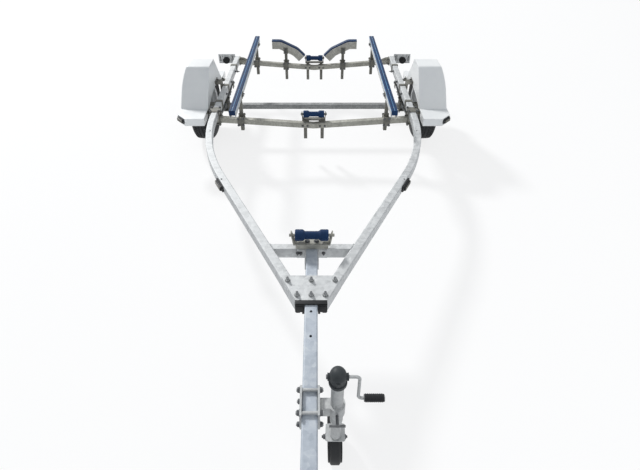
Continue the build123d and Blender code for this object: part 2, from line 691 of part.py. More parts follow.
# ---------------------------------------------------------------- keel rollers
# name, y of the axis, z of the axis, lower end of the stems (0: no stems), lean of the ears
roller_rows = [
    ("front", CHANNEL_FRONT_Y + CHANNEL_DEPTH / 2, 545.0, 0, 14.0),
    ("middle", front_post_y, 407.0, 179.0, 5.0),
    ("rear", rear_post_y, 437.0, 200.0, 0.0),
]
seat_drop = ROLLER_R + 18.0   # from the roller's axis to the underside of its bracket
sheet = 5.0
seat_half = ROLLER_HALF + 4.0
seat_depth = 52.0
for name, roller_y, roller_z, stem_bottom, ear_lean in roller_rows:
    roller_centre = Plane(origin=(0, roller_y, roller_z), x_dir=(1, 0, 0), z_dir=(0, -1, 0))
    with BuildPart() as keel_roller:
        with BuildSketch(roller_centre):
            with BuildLine():
                Polyline(
                    (-ROLLER_HALF, PIN_R + 0.08),
                    (-ROLLER_HALF, ROLLER_R - 3),
                    (-ROLLER_HALF + 4, ROLLER_R),
                    (-ROLLER_HALF + 40, ROLLER_R),
                    (-ROLLER_HALF + 52, ROLLER_WAIST_R),
                    (ROLLER_HALF - 52, ROLLER_WAIST_R),
                    (ROLLER_HALF - 40, ROLLER_R),
                    (ROLLER_HALF - 4, ROLLER_R),
                    (ROLLER_HALF, ROLLER_R - 3),
                    (ROLLER_HALF, PIN_R + 0.08),
                    close=True,
                )
            make_face()
        revolve(axis=Axis((0, roller_y, roller_z), (1, 0, 0)))
    save(keel_roller, f"keel_roller_{name}")

    base_z = roller_z - seat_drop
    ear_top = roller_z + 20
    with BuildPart() as roller_bracket:
        # bent sheet: base with both ears, then the ears tapered towards the pin
        with BuildSketch(front_plane(roller_y + seat_depth / 2)):
            with BuildLine():
                Polyline(
                    (-seat_half - sheet, base_z), (seat_half + sheet, base_z),
                    (seat_half + sheet + ear_lean, ear_top), (seat_half + ear_lean, ear_top),
                    (seat_half, base_z + sheet), (-seat_half, base_z + sheet),
                    (-seat_half - ear_lean, ear_top), (-seat_half - sheet - ear_lean, ear_top),
                    close=True,
                )
            make_face()
        extrude(amount=seat_depth)
        for end in (1, -1):
            with BuildSketch(side_plane(-2 * ROLLER_HALF)):
                with BuildLine():
                    Polyline(
                        (roller_y + end * (seat_depth / 2 + 1), base_z + 12),
                        (roller_y + end * 13, ear_top + 1),
                        (roller_y + end * (seat_depth / 2 + 1), ear_top + 1),
                        close=True,
                    )
                make_face()
            extrude(amount=4 * ROLLER_HALF, mode=Mode.SUBTRACT)
        with Locations((0, roller_y, roller_z)):
            Cylinder(PIN_R, 2 * (seat_half + sheet + ear_lean) + 12, rotation=(0, 90, 0))
        if stem_bottom > 0:
            for side in (1, -1):
                with Locations((side * roller_stem_x, roller_y, (base_z + stem_bottom) / 2)):
                    Box(POST, POST, base_z - stem_bottom)
        else:
            # front lip, and two bolts in spacers that hold the seat above the channel
            with Locations((0, roller_y - seat_depth / 2 + sheet / 2, base_z - 12)):
                Box(2 * seat_half - 12, sheet, 24)
            for side in (1, -1):
                with Locations((side * 24, roller_y, RAIL_TOP)):
                    Cylinder(12, base_z - RAIL_TOP, align=(Align.CENTER, Align.CENTER, Align.MIN))
                with BuildSketch(Plane.XY.offset(base_z + sheet)):
                    with Locations((side * 24, roller_y)):
                        RegularPolygon(9, 6)
                extrude(amount=6)
    save(roller_bracket, f"roller_bracket_{name}")

# ---------------------------------------------------------------- road wheels
# half section of the tyre: half width, radius
tyre_outside = [(60, RIM_SEAT_R), (TYRE_HALF_W, 218), (TYRE_HALF_W, 262), (68, 287), (38, TYRE_R)]
tyre_inside = [(46, RIM_SEAT_R), (64, 276)]
STUD_CIRCLE_R = 57.15
wheel_plane = Plane(origin=(TRACK_X, AXLE_Y, TYRE_R), x_dir=(1, 0, 0), z_dir=(0, -1, 0))
wheel_axis = Axis((TRACK_X, AXLE_Y, TYRE_R), (1, 0, 0))

with BuildPart() as tyre_right:
    with BuildSketch(wheel_plane):
        with BuildLine():
            section = tyre_outside + [(-x, r) for x, r in reversed(tyre_outside)]
            hollow = [(-x, r) for x, r in tyre_inside] + list(reversed(tyre_inside))
            Polyline(*(section + hollow), close=True)
        make_face()
    revolve(axis=wheel_axis)
save(tyre_right, "tyre_right")

# rim barrel section, then the dished disc: x from the wheel's middle plane, radius
rim_barrel = [
    (72, 181), (69, 181), (63, 165), (34, 165), (28, 148), (-28, 148), (-34, 165), (-63, 165),
    (-69, 181), (-72, 181), (-66, 161), (-37, 161), (-31, 144), (31, 144), (37, 161), (66, 161),
]
rim_disc = [
    (0, 31), (0, 75), (14, 92), (20, 106), (12, 145), (17, 145), (25, 106), (19, 89), (5, 72),
    (5, 31),
]
with BuildPart() as rim_right:
    with BuildSketch(wheel_plane):
        with BuildLine():
            Polyline(*rim_barrel, close=True)
        make_face()
        with BuildLine():
            Polyline(*rim_disc, close=True)
        make_face()
    revolve(axis=wheel_axis)
    with BuildSketch(side_plane(TRACK_X - 5)):
        with Locations((AXLE_Y, TYRE_R)):
            with PolarLocations(STUD_CIRCLE_R, 5, start_angle=90):
                Circle(6.6)
            with PolarLocations(114, 10, start_angle=18):
                Circle(10)
    extrude(amount=45, mode=Mode.SUBTRACT)
save(rim_right, "rim_right")

hub_section = [
    (-85, spindle_r + 0.05), (-85, 36), (-12, 36), (-12, 70), (0, 70), (0, 30), (24, 30), (24, 26),
    (40, 26), (48, 18), (48, 0), (8, 0), (8, spindle_r + 0.05),
]
with BuildPart() as hub_right:
    with BuildSketch(wheel_plane):
        with BuildLine():
            Polyline(*hub_section, close=True)
        make_face()
    revolve(axis=wheel_axis)
    with BuildSketch(side_plane(TRACK_X)):
        with Locations((AXLE_Y, TYRE_R)):
            with PolarLocations(STUD_CIRCLE_R, 5, start_angle=90):
                Circle(6)
    extrude(amount=24)
    with BuildSketch(side_plane(TRACK_X + 5)):
        with Locations((AXLE_Y, TYRE_R)):
            with PolarLocations(STUD_CIRCLE_R, 5, start_angle=90):
                RegularPolygon(10, 6)
    extrude(amount=14)
save(hub_right, "hub_right")

for right, label in ((tyre_right, "tyre_left"), (rim_right, "rim_left"), (hub_right, "hub_left")):
    with BuildPart() as left_piece:
        mirror(right.part, about=Plane.YZ)
    save(left_piece, label)

# ---------------------------------------------------------------- jockey wheel
OUTER_TUBE_R = 24.0
INNER_TUBE_R = 21.2
outer_tube_bottom = 335.0
head_bottom = 614.0
with BuildPart() as jockey_clamp:
    for side in (1, -1):
        with Locations((side * (DRAWBAR / 2 + 4), JOCKEY_Y, rail_mid_z)):
            Box(8, 110, RAIL_H + 40)
    for dy in (-42, 42):
        for dz in (-RAIL_H / 2 - 9, RAIL_H / 2 + 9):
            with Locations((0, JOCKEY_Y + dy, rail_mid_z + dz)):
                Cylinder(6, DRAWBAR + 44, rotation=(0, 90, 0))
    with BuildSketch(Plane.XY.offset(rail_mid_z - 28)):
        with Locations(((DRAWBAR / 2 + JOCKEY_X) / 2, JOCKEY_Y)):
            Rectangle(JOCKEY_X - DRAWBAR / 2, 40)
        with Locations((JOCKEY_X, JOCKEY_Y)):
            Circle(OUTER_TUBE_R + 8)
        with Locations((JOCKEY_X, JOCKEY_Y)):
            Circle(OUTER_TUBE_R, mode=Mode.SUBTRACT)
    extrude(amount=56)
save(jockey_clamp, "jockey_clamp")

with BuildPart() as jockey_outer_tube:
    with BuildSketch(Plane.XY.offset(outer_tube_bottom)):
        with Locations((JOCKEY_X, JOCKEY_Y)):
            Circle(OUTER_TUBE_R)
            Circle(OUTER_TUBE_R - 2.5, mode=Mode.SUBTRACT)
    extrude(amount=head_bottom - outer_tube_bottom)
save(jockey_outer_tube, "jockey_outer_tube")

crank_z = 636.0
head_r = 31.0
with BuildPart() as jockey_head:
    with BuildSketch(Plane.XY.offset(head_bottom)):
        with Locations((JOCKEY_X, JOCKEY_Y)):
            Circle(head_r)
    extrude(amount=60)
    fillet(jockey_head.edges().group_by(Axis.Z)[-1], head_r - 2)
    # collar around the tube's upper end
    with BuildSketch(Plane.XY.offset(head_bottom - 12)):
        with Locations((JOCKEY_X, JOCKEY_Y)):
            Circle(head_r + 3)
            Circle(OUTER_TUBE_R, mode=Mode.SUBTRACT)
    extrude(amount=14)
    # bosses of the crank's shaft
    for side in (1, -1):
        with BuildSketch(side_plane(JOCKEY_X + side * 20)):
            with Locations((JOCKEY_Y, crank_z)):
                Circle(13)
        extrude(amount=side * 17)
    with BuildSketch(side_plane(JOCKEY_X + 10)):
        with Locations((JOCKEY_Y, crank_z)):
            Circle(6.06)
    extrude(amount=30, mode=Mode.SUBTRACT)
save(jockey_head, "jockey_head")

CRANK_ARM = 140.0
crank_out_x = 180.0
with BuildPart() as jockey_crank:
    with BuildLine(front_plane(JOCKEY_Y)) as crank_path:
        FilletPolyline(
            (JOCKEY_X + 12, crank_z),
            (crank_out_x, crank_z),
            (crank_out_x, crank_z - CRANK_ARM),
            (crank_out_x + 96, crank_z - CRANK_ARM),
            radius=16,
        )
    with BuildSketch(side_plane(JOCKEY_X + 12)):
        with Locations((JOCKEY_Y, crank_z)):
            Circle(6)
    sweep(path=crank_path.wires()[0])
    with BuildSketch(side_plane(crank_out_x + 22)):
        with Locations((JOCKEY_Y, crank_z - CRANK_ARM)):
            Circle(13)
    extrude(amount=76)
save(jockey_crank, "jockey_crank")

inner_tube_bottom = 222.0
with BuildPart() as jockey_inner_tube:
    with BuildSketch(Plane.XY.offset(inner_tube_bottom)):
        with Locations((JOCKEY_X, JOCKEY_Y)):
            Circle(INNER_TUBE_R)
            Circle(INNER_TUBE_R - 3, mode=Mode.SUBTRACT)
    extrude(amount=500 - inner_tube_bottom)
    with BuildSketch(Plane.XY.offset(inner_tube_bottom)):
        with Locations((JOCKEY_X, JOCKEY_Y)):
            Circle(INNER_TUBE_R)
            Circle(8.06, mode=Mode.SUBTRACT)
    extrude(amount=36)
save(jockey_inner_tube, "jockey_inner_tube")

TRAIL = 45.0
castor_y = JOCKEY_Y + TRAIL
with BuildPart() as jockey_fork:
    with BuildSketch(Plane.XY.offset(210)):
        with Locations((JOCKEY_X, JOCKEY_Y + 10)):
            RectangleRounded(78, 66, 8)
    extrude(amount=6)
    with Locations((JOCKEY_X, JOCKEY_Y, 216)):
        Cylinder(14, 3, align=(Align.CENTER, Align.CENTER, Align.MIN))
        Cylinder(8, 36, align=(Align.CENTER, Align.CENTER, Align.MIN))
    for side in (1, -1):
        with BuildSketch(side_plane(JOCKEY_X + side * 36.5 - 2.5)):
            with BuildLine():
                Polyline(
                    (JOCKEY_Y - 20, 214),
                    (JOCKEY_Y + 42, 214),
                    (castor_y + 15, JOCKEY_WHEEL_R),
                    (castor_y - 15, JOCKEY_WHEEL_R),
                    close=True,
                )
            make_face()
            with Locations((castor_y, JOCKEY_WHEEL_R)):
                Circle(15)
        extrude(amount=5)
    with Locations((JOCKEY_X, castor_y, JOCKEY_WHEEL_R)):
        Cylinder(6, 94, rotation=(0, 90, 0))
save(jockey_fork, "jockey_fork")

# half section of the moulded wheel: half width, radius
wheel_half = [
    (30, 6.06), (30, 16), (12, 20), (12, 62), (26, 66), (29, 84), (17, JOCKEY_WHEEL_R),
]
with BuildPart() as jockey_wheel:
    with BuildSketch(Plane(origin=(JOCKEY_X, castor_y, JOCKEY_WHEEL_R), x_dir=(1, 0, 0), z_dir=(0, -1, 0))):
        with BuildLine():
            Polyline(*(wheel_half + [(-x, r) for x, r in reversed(wheel_half)]), close=True)
        make_face()
    revolve(axis=Axis((JOCKEY_X, castor_y, JOCKEY_WHEEL_R), (1, 0, 0)))
save(jockey_wheel, "jockey_wheel")

# ---------------------------------------------------------------- coupling
BALL_R = 25.2
SHELL_R = 38.0
ball_y = NOSE_Y + SHELL_R
socket_bottom = 434.0
socket_mid = 456.0
lever_pivot = (-2262.0, 500.0)
with BuildPart() as coupling_body:
    with BuildSketch(Plane.XY.offset(socket_bottom)):
        with Locations((0, ball_y)):
            Circle(SHELL_R)
    extrude(amount=50, taper=4)
    with BuildSketch(Plane.XY.offset(socket_bottom)):
        with Locations((0, (ball_y + DRAWBAR_FRONT_Y) / 2 - 2)):
            Rectangle(54, DRAWBAR_FRONT_Y - ball_y - 4)
    extrude(amount=46)
    with BuildSketch(front_plane(DRAWBAR_FRONT_Y + 135)):
        with Locations((0, 444)):
            Rectangle(72, 52)
        with Locations((0, 434)):
            Rectangle(DRAWBAR, 60, mode=Mode.SUBTRACT)
    extrude(amount=140)
    with Locations((0, ball_y, (socket_bottom + socket_mid) / 2)):
        Cylinder(BALL_R, socket_mid - socket_bottom, mode=Mode.SUBTRACT)
    with Locations((0, ball_y, socket_mid)):
        Sphere(BALL_R, mode=Mode.SUBTRACT)
    for side in (1, -1):
        with BuildSketch(side_plane(side * 23 - 2.5)):
            with BuildLine():
                Polyline(
                    (lever_pivot[0] - 24, 478), (lever_pivot[0] - 10, 504),
                    (lever_pivot[0] + 10, 504), (lever_pivot[0] + 26, 478), close=True,
                )
            make_face()
        extrude(amount=5)
    with Locations((0, lever_pivot[0], lever_pivot[1])):
        Cylinder(4, 54, rotation=(0, 90, 0))
save(coupling_body, "coupling_body")

with BuildPart() as coupling_lever:
    with BuildSketch(side_plane(-17)):
        with BuildLine():
            Polyline(
                (lever_pivot[0] - 12, 494), (lever_pivot[0] - 8, 510), (lever_pivot[0] + 30, 514),
                (lever_pivot[0] + 150, 500), (lever_pivot[0] + 156, 490), (lever_pivot[0] + 60, 492),
                (lever_pivot[0] + 8, 492), close=True,
            )
        make_face()
    extrude(amount=34)
    with Locations((0, lever_pivot[0], lever_pivot[1])):
        Cylinder(4.06, 60, rotation=(0, 90, 0), mode=Mode.SUBTRACT)
save(coupling_lever, "coupling_lever")

# ---------------------------------------------------------------- winch post and winch
WINCH_POST = 50.0
post_top = 1000.0
with BuildPart() as winch_post:
    with BuildSketch(Plane.XY.offset(RAIL_TOP)):
        with Locations((0, WINCH_POST_Y)):
            Rectangle(72, 130)
    extrude(amount=6)
    for side in (1, -1):
        with Locations((side * (DRAWBAR / 2 + 3), WINCH_POST_Y, RAIL_TOP - 30)):
            Box(6, 130, 72)
    with BuildSketch(Plane.XY.offset(RAIL_TOP + 6)):
        with Locations((0, WINCH_POST_Y)):
            box_tube(WINCH_POST, WINCH_POST, 3, 5)
    extrude(amount=post_top - RAIL_TOP - 6)
    with BuildSketch(side_plane(-3)):
        with BuildLine():
            Polyline(
                (WINCH_POST_Y + 24, 470), (WINCH_POST_Y + 62, 470), (WINCH_POST_Y + 24, 560), close=True
            )
        make_face()
    extrude(amount=6)
    # arm that carries the bow stop
    with BuildSketch(front_plane(WINCH_POST_Y + 120)):
        with Locations((0, 925)):
            Rectangle(40, 40)
            Rectangle(34, 34, mode=Mode.SUBTRACT)
    extrude(amount=120 - WINCH_POST / 2)
save(winch_post, "winch_post")

with BuildPart() as bow_stop:
    with BuildSketch(Plane.XY.offset(880)):
        with BuildLine():
            Polyline(
                (-22, WINCH_POST_Y + 120), (22, WINCH_POST_Y + 120), (56, WINCH_POST_Y + 150),
                (50, WINCH_POST_Y + 160), (0, WINCH_POST_Y + 136), (-50, WINCH_POST_Y + 160),
                (-56, WINCH_POST_Y + 150), close=True,
            )
        make_face()
    extrude(amount=90)
save(bow_stop, "bow_stop")

winch_z = 1052.0
drum_half = 36.0
with BuildPart() as winch_frame:
    with BuildSketch(front_plane(WINCH_POST_Y + 55)):
        with Locations((0, post_top + 2.5)):
            Rectangle(98, 5)
        for side in (1, -1):
            with Locations((side * 46.5, post_top + 45)):
                Rectangle(5, 90)
    extrude(amount=110)
    with Locations((0, WINCH_POST_Y, winch_z)):
        Cylinder(10.06, 110, rotation=(0, 90, 0), mode=Mode.SUBTRACT)
save(winch_frame, "winch_frame")

with BuildPart() as winch_drum:
    with BuildSketch(Plane(origin=(0, WINCH_POST_Y, winch_z), x_dir=(1, 0, 0), z_dir=(0, -1, 0))):
        with BuildLine():
            Polyline(
                (-60, 0), (-60, 10), (-drum_half, 10), (-drum_half, 40), (-drum_half + 3, 40),
                (-drum_half + 3, 20), (drum_half - 3, 20), (drum_half - 3, 40), (drum_half, 40),
                (drum_half, 10), (66, 10), (66, 0), close=True,
            )
        make_face()
    revolve(axis=Axis((0, WINCH_POST_Y, winch_z), (1, 0, 0)))
save(winch_drum, "winch_drum")

with BuildPart() as winch_handle:
    with BuildSketch(side_plane(66)):
        with BuildLine():
            Polyline(
                (WINCH_POST_Y - 16, winch_z + 16), (WINCH_POST_Y + 16, winch_z + 16),
                (WINCH_POST_Y + 12, winch_z - 200), (WINCH_POST_Y - 12, winch_z - 200), close=True,
            )
        make_face()
    extrude(amount=6)
    with BuildSketch(side_plane(72)):
        with Locations((WINCH_POST_Y, winch_z - 186)):
            Circle(14)
    extrude(amount=95)
save(winch_handle, "winch_handle")
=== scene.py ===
import bpy
import bmesh
import json
import random
from math import cos, radians, sin, sqrt, tan, tau
from mathutils import Matrix, Vector


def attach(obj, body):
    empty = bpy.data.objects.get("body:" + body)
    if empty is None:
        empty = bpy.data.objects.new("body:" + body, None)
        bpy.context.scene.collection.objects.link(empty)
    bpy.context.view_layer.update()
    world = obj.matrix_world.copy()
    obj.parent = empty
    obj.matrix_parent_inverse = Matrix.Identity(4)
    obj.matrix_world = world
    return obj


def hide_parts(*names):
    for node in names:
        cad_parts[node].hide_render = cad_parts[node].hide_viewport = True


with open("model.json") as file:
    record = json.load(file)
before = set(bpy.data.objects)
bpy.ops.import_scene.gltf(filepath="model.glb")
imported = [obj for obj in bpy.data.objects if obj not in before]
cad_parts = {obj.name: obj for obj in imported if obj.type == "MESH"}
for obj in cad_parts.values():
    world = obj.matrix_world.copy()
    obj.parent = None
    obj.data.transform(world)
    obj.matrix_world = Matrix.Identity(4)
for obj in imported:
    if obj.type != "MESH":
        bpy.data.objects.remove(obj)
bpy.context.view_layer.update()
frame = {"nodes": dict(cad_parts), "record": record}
random.seed(7)

# ---------------- camera
IMAGE_W = 640
IMAGE_H = 470
FOCAL_PX = 442.2
CENTRE_PX = (317.0, 146.2)  # where the optical axis meets the picture
CAMERA_AT = (0.027, -2.216, 2.172)
CAMERA_PITCH = 32.65  # degrees below level
SENSOR_W = 36.0

camera_data = bpy.data.cameras.new("camera")
camera_data.sensor_width = SENSOR_W
camera_data.lens = FOCAL_PX / IMAGE_W * SENSOR_W
camera_data.shift_x = (IMAGE_W / 2 - CENTRE_PX[0]) / IMAGE_W
camera_data.shift_y = (CENTRE_PX[1] - IMAGE_H / 2) / IMAGE_W
camera = bpy.data.objects.new("camera", camera_data)
camera.location = CAMERA_AT
camera.rotation_euler = (radians(90 - CAMERA_PITCH), 0, 0)
scene = bpy.context.scene
scene.collection.objects.link(camera)
scene.camera = camera
scene.view_settings.view_transform = "Standard"


# ---------------- materials
def new_material(name):
    """New material, its node tree and its main shader."""
    material = bpy.data.materials.new(name)
    material.use_nodes = True
    tree = material.node_tree
    return material, tree, tree.nodes["Principled BSDF"]


def set_inputs(node, **values):
    for name, value in values.items():
        node.inputs[name].default_value = value


def noise(tree, scale, detail=4.0, rough=0.55, stretch=None):
    """Cloudy values over the object, finer along an axis that is stretched."""
    texture = tree.nodes.new("ShaderNodeTexNoise")
    set_inputs(texture, Scale=scale, Detail=detail, Roughness=rough)
    source = tree.nodes.new("ShaderNodeTexCoord").outputs["Object"]
    if stretch:
        mapping = tree.nodes.new("ShaderNodeMapping")
        set_inputs(mapping, Scale=stretch)
        tree.links.new(source, mapping.inputs["Vector"])
        source = mapping.outputs["Vector"]
    tree.links.new(source, texture.inputs["Vector"])
    return texture.outputs["Fac"]


def ramp(tree, factor, stops):
    """Colours that follow a factor. stops: (position, colour)."""
    node = tree.nodes.new("ShaderNodeValToRGB")
    elements = node.color_ramp.elements
    while len(elements) < len(stops):
        elements.new(0.5)
    for element, (position, colour) in zip(elements, stops):
        element.position = position
        element.color = (*colour, 1)
    tree.links.new(factor, node.inputs["Fac"])
    return node.outputs["Color"]


def grey_ramp(tree, factor, low, high, start=0.35, end=0.65):
    return ramp(tree, factor, [(start, (low,) * 3), (end, (high,) * 3)])


def mixed(tree, share, first, second):
    """Blend of two values, with the given share of the second."""
    node = tree.nodes.new("ShaderNodeMix")
    node.data_type = "FLOAT"
    node.inputs[0].default_value = share
    tree.links.new(first, node.inputs[2])
    tree.links.new(second, node.inputs[3])
    return node.outputs[0]


def bump(tree, height, strength, distance, shader):
    node = tree.nodes.new("ShaderNodeBump")
    set_inputs(node, Strength=strength, Distance=distance)
    tree.links.new(height, node.inputs["Height"])
    tree.links.new(node.outputs["Normal"], shader.inputs["Normal"])


def galvanised(name, dull, mid, bright, metallic=0.4, spangle_scale=70.0, spangle=0.17):
    """Zinc coat: crystal spangle over cloudy patches, with drips along the steel."""
    material, tree, shader = new_material(name)
    cells = tree.nodes.new("ShaderNodeTexVoronoi")
    set_inputs(cells, Scale=spangle_scale)
    source = tree.nodes.new("ShaderNodeTexCoord")
    tree.links.new(source.outputs["Object"], cells.inputs["Vector"])
    clouds = noise(tree, 15.0, detail=9.0, rough=0.72)
    drips = noise(tree, 9.0, detail=5.0, rough=0.65, stretch=(1.0, 5.0, 1.0))
    crystals = grey_ramp(tree, cells.outputs["Color"], 0.0, 1.0, start=0.1, end=0.9)
    coat = mixed(tree, spangle, mixed(tree, 0.4, clouds, drips), crystals)
    colour = ramp(tree, coat, [(0.26, dull), (0.50, mid), (0.74, bright)])
    tree.links.new(colour, shader.inputs["Base Color"])
    tree.links.new(grey_ramp(tree, coat, 0.48, 0.66), shader.inputs["Roughness"])
    set_inputs(shader, Metallic=metallic)
    fine = noise(tree, 220.0, detail=3.0)
    relief = mixed(tree, 0.5, clouds, fine)
    bump(tree, relief, strength=0.10, distance=0.002, shader=shader)
    return material


def moulded(name, low, high, rough_low, rough_high, grain=300.0, gloss=0.5):
    """Plastic or rubber: two close tones in soft patches, with a fine grain."""
    material, tree, shader = new_material(name)
    patch = noise(tree, 6.0)
    tree.links.new(ramp(tree, patch, [(0.3, low), (0.7, high)]), shader.inputs["Base Color"])
    tree.links.new(grey_ramp(tree, patch, rough_low, rough_high), shader.inputs["Roughness"])
    shader.inputs["Specular IOR Level"].default_value = gloss
    fine = noise(tree, grain, detail=2.0)
    bump(tree, fine, strength=0.08, distance=0.001, shader=shader)
    return material


STEEL = galvanised(
    "galvanised steel", (0.19, 0.185, 0.165), (0.34, 0.335, 0.295), (0.52, 0.515, 0.465),
    metallic=0.35)
# Painted light: a lighter copy of the galvanised coat, for the rails, plates, channels and welds that catch
# the light.
LIT_STEEL = galvanised(
    "painted light steel", (0.36, 0.37, 0.37), (0.56, 0.57, 0.57), (0.74, 0.75, 0.74),
    metallic=0.2, spangle_scale=50.0)
# Painted light and painted reflection: a lighter, bluer copy of the galvanised coat, for the drawbar's sunlit
# top with the sky reflected in it.
DRAWBAR_STEEL = galvanised(
    "drawbar steel", (0.30, 0.34, 0.39), (0.44, 0.48, 0.53), (0.61, 0.64, 0.66),
    metallic=0.2, spangle_scale=50.0)
# Painted shade: a darker copy of the galvanised coat, for the axle's front face in shade.
AXLE_STEEL = galvanised(
    "axle steel", (0.14, 0.145, 0.145), (0.25, 0.255, 0.255), (0.40, 0.405, 0.40),
    metallic=0.35)
# Painted light: a lighter, warmer copy of the galvanised coat, for the centring arms.
ARM_STEEL = galvanised(
    "arm steel", (0.26, 0.255, 0.235), (0.43, 0.42, 0.385), (0.60, 0.59, 0.54),
    metallic=0.25, spangle_scale=50.0)
# Painted shade: a darker copy of the galvanised coat, for posts, clamps, brackets and hangers that sit in
# shade under the frame.
SHADED_STEEL = galvanised(
    "painted shade steel", (0.09, 0.088, 0.078), (0.15, 0.147, 0.128), (0.26, 0.255, 0.225),
    metallic=0.3)
SPRING = galvanised(
    "spring steel", (0.12, 0.12, 0.12), (0.18, 0.19, 0.19), (0.28, 0.29, 0.29))
ZINC = galvanised(
    "zinc plate", (0.30, 0.31, 0.31), (0.44, 0.45, 0.45), (0.58, 0.59, 0.58), spangle_scale=160.0)
BOLT = galvanised(
    "bolt steel", (0.06, 0.065, 0.07), (0.11, 0.115, 0.12), (0.22, 0.225, 0.23),
    metallic=0.5, spangle_scale=200.0)
NUT = galvanised(
    "nut steel", (0.16, 0.165, 0.17), (0.26, 0.27, 0.27), (0.42, 0.43, 0.43),
    metallic=0.5, spangle_scale=200.0)
RIM = galvanised(
    "wheel zinc", (0.46, 0.47, 0.48), (0.56, 0.57, 0.58), (0.66, 0.67, 0.67),
    spangle_scale=110.0, spangle=0.08)
WHITE = moulded("white moulding", (0.80, 0.81, 0.805), (0.87, 0.875, 0.86), 0.3, 0.42)
BLUE = moulded("blue plastic", (0.003, 0.020, 0.066), (0.006, 0.036, 0.110), 0.5, 0.65, gloss=0.22)
# painted highlight: light blue lines for the sheen on the navy skid strips
HIGHLIGHT_BLUE = moulded("painted highlight blue", (0.10, 0.27, 0.50), (0.17, 0.38, 0.62), 0.4, 0.55, gloss=0.3)
BLACK = moulded("black plastic", (0.009, 0.010, 0.011), (0.020, 0.022, 0.024), 0.45, 0.6, gloss=0.25)
CHARCOAL = moulded("charcoal plastic", (0.022, 0.027, 0.030), (0.038, 0.044, 0.048), 0.45, 0.6, gloss=0.3)
RUBBER = moulded("rubber", (0.014, 0.015, 0.016), (0.032, 0.034, 0.036), 0.6, 0.8, gloss=0.35)
LENS_GRAIN = 120.0
SMOKE = moulded("smoked lens", (0.10, 0.095, 0.08), (0.20, 0.19, 0.16), 0.3, 0.4, LENS_GRAIN, 0.3)
RED_LENS = moulded("red lens", (0.42, 0.008, 0.008), (0.55, 0.016, 0.012), 0.1, 0.18, LENS_GRAIN)
AMBER_LENS = moulded("amber lens", (0.70, 0.20, 0.01), (0.80, 0.28, 0.02), 0.1, 0.18, LENS_GRAIN)
CLEAR_LENS = moulded("clear lens", (0.62, 0.64, 0.65), (0.74, 0.75, 0.76), 0.08, 0.15, LENS_GRAIN)

# the material of each slot's solids
by_slot = {
    "galvanised": STEEL, "spring_steel": SPRING, "zinc_bright": ZINC, "guard_white": WHITE,
    "skid_blue": BLUE, "roller_blue": BLUE, "black_plastic": CHARCOAL, "lamp_lens": BLACK,
    "tyre": RUBBER, "rubber": RUBBER, "rim": RIM,
}
# parts that take the painted shade copy of the steel
shaded_nodes = {
    "skid_posts", "centring_posts", "post_clamps", "frame_clamps", "guard_brackets", "axle_clamps",
    "spring_hangers", "roller_bracket_middle", "roller_bracket_rear",
}
# parts that take the painted light copy of the steel
lit_nodes = {
    "junction_plates", "tail_lamp_plates", "rail_right", "rail_left", "front_channel",
    "winch_post", "skid_channels",
}
# Each node's copy of the galvanised coat, lighter or darker by how the light falls on the part: painted light
# and painted shade.
own_steel = {
    "drawbar": DRAWBAR_STEEL, "axle_beam": AXLE_STEEL, "centring_arms": ARM_STEEL,
    **dict.fromkeys(shaded_nodes, SHADED_STEEL), **dict.fromkeys(lit_nodes, LIT_STEEL),
}
slot_of = {row["node"]: row["material_slot"] for row in frame["record"]["subparts"]}
for node, solid in frame["nodes"].items():
    solid.data.materials.clear()
    solid.data.materials.append(own_steel.get(node, by_slot[slot_of[node]]))

# ---------------- shape helpers: sizes and places are given in millimetres
MM = 0.001
HEX = 6  # segments of a nut
SHARP = radians(32)  # edges that bend more than this stay sharp
SIDES = (1, -1)  # right and left, or outer and inner
WASHER_T = 2.0
X_AXIS = Vector((1, 0, 0))
Y_AXIS = Vector((0, 1, 0))
Z_AXIS = Vector((0, 0, 1))


def frame_at(place, axis=Z_AXIS, spin=0.0):
    """Matrix whose local Z runs along the axis, at a place."""
    turn = Vector(axis).normalized().to_track_quat("Z", "Y").to_matrix().to_4x4()
    return Matrix.Translation(Vector(place) * MM) @ turn @ Matrix.Rotation(spin, 4, "Z")


def polar(radius, angle, height):
    """Point about local Z."""
    return Vector((radius * cos(angle), radius * sin(angle), height)) * MM


def turned(mesh, matrix, profile, segments=20):
    """Solid of revolution round local Z. profile: (radius, height), from pole to pole."""
    rings = []
    for radius, height in profile:
        if radius == 0:
            rings.append([mesh.verts.new(matrix @ Vector((0, 0, height * MM)))])
            continue
        rings.append([
            mesh.verts.new(matrix @ polar(radius, tau * step / segments, height))
            for step in range(segments)
        ])
    for low, high in zip(rings, rings[1:]):
        for step in range(segments):
            after = (step + 1) % segments
            corners = [low[step % len(low)], low[after % len(low)]]
            corners += [high[after % len(high)], high[step % len(high)]]
            # a pole stands twice in the list
            distinct = list(dict.fromkeys(corners))
            if len(distinct) > 2:
                mesh.faces.new(distinct)


def ring_skin(mesh, rows):
    """Faces between closed rows of corners that stand in a ring."""
    count = len(rows[0])
    for step, here in enumerate(rows):
        there = rows[(step + 1) % len(rows)]
        for k in range(count):
            after = (k + 1) % count
            mesh.faces.new((here[k], there[k], there[after], here[after]))


def ring_band(mesh, matrix, section, segments=48):
    """Closed ring round local Z. section: closed outline of (radius, height)."""
    rows = []
    for step in range(segments):
        angle = tau * step / segments
        rows.append([mesh.verts.new(matrix @ polar(r, angle, h)) for r, h in section])
    ring_skin(mesh, rows)


def hoop(mesh, place, section, segments=48):
    """Closed ring round the X direction."""
    ring_band(mesh, frame_at(place, X_AXIS), section, segments)


def ridge(foot_r, crest_r, foot_half, crest_half):
    """Section of a raised ring: the radii of its foot and crest, and half their widths."""
    return [(foot_r, -foot_half), (crest_r, -crest_half), (crest_r, crest_half), (foot_r, foot_half)]


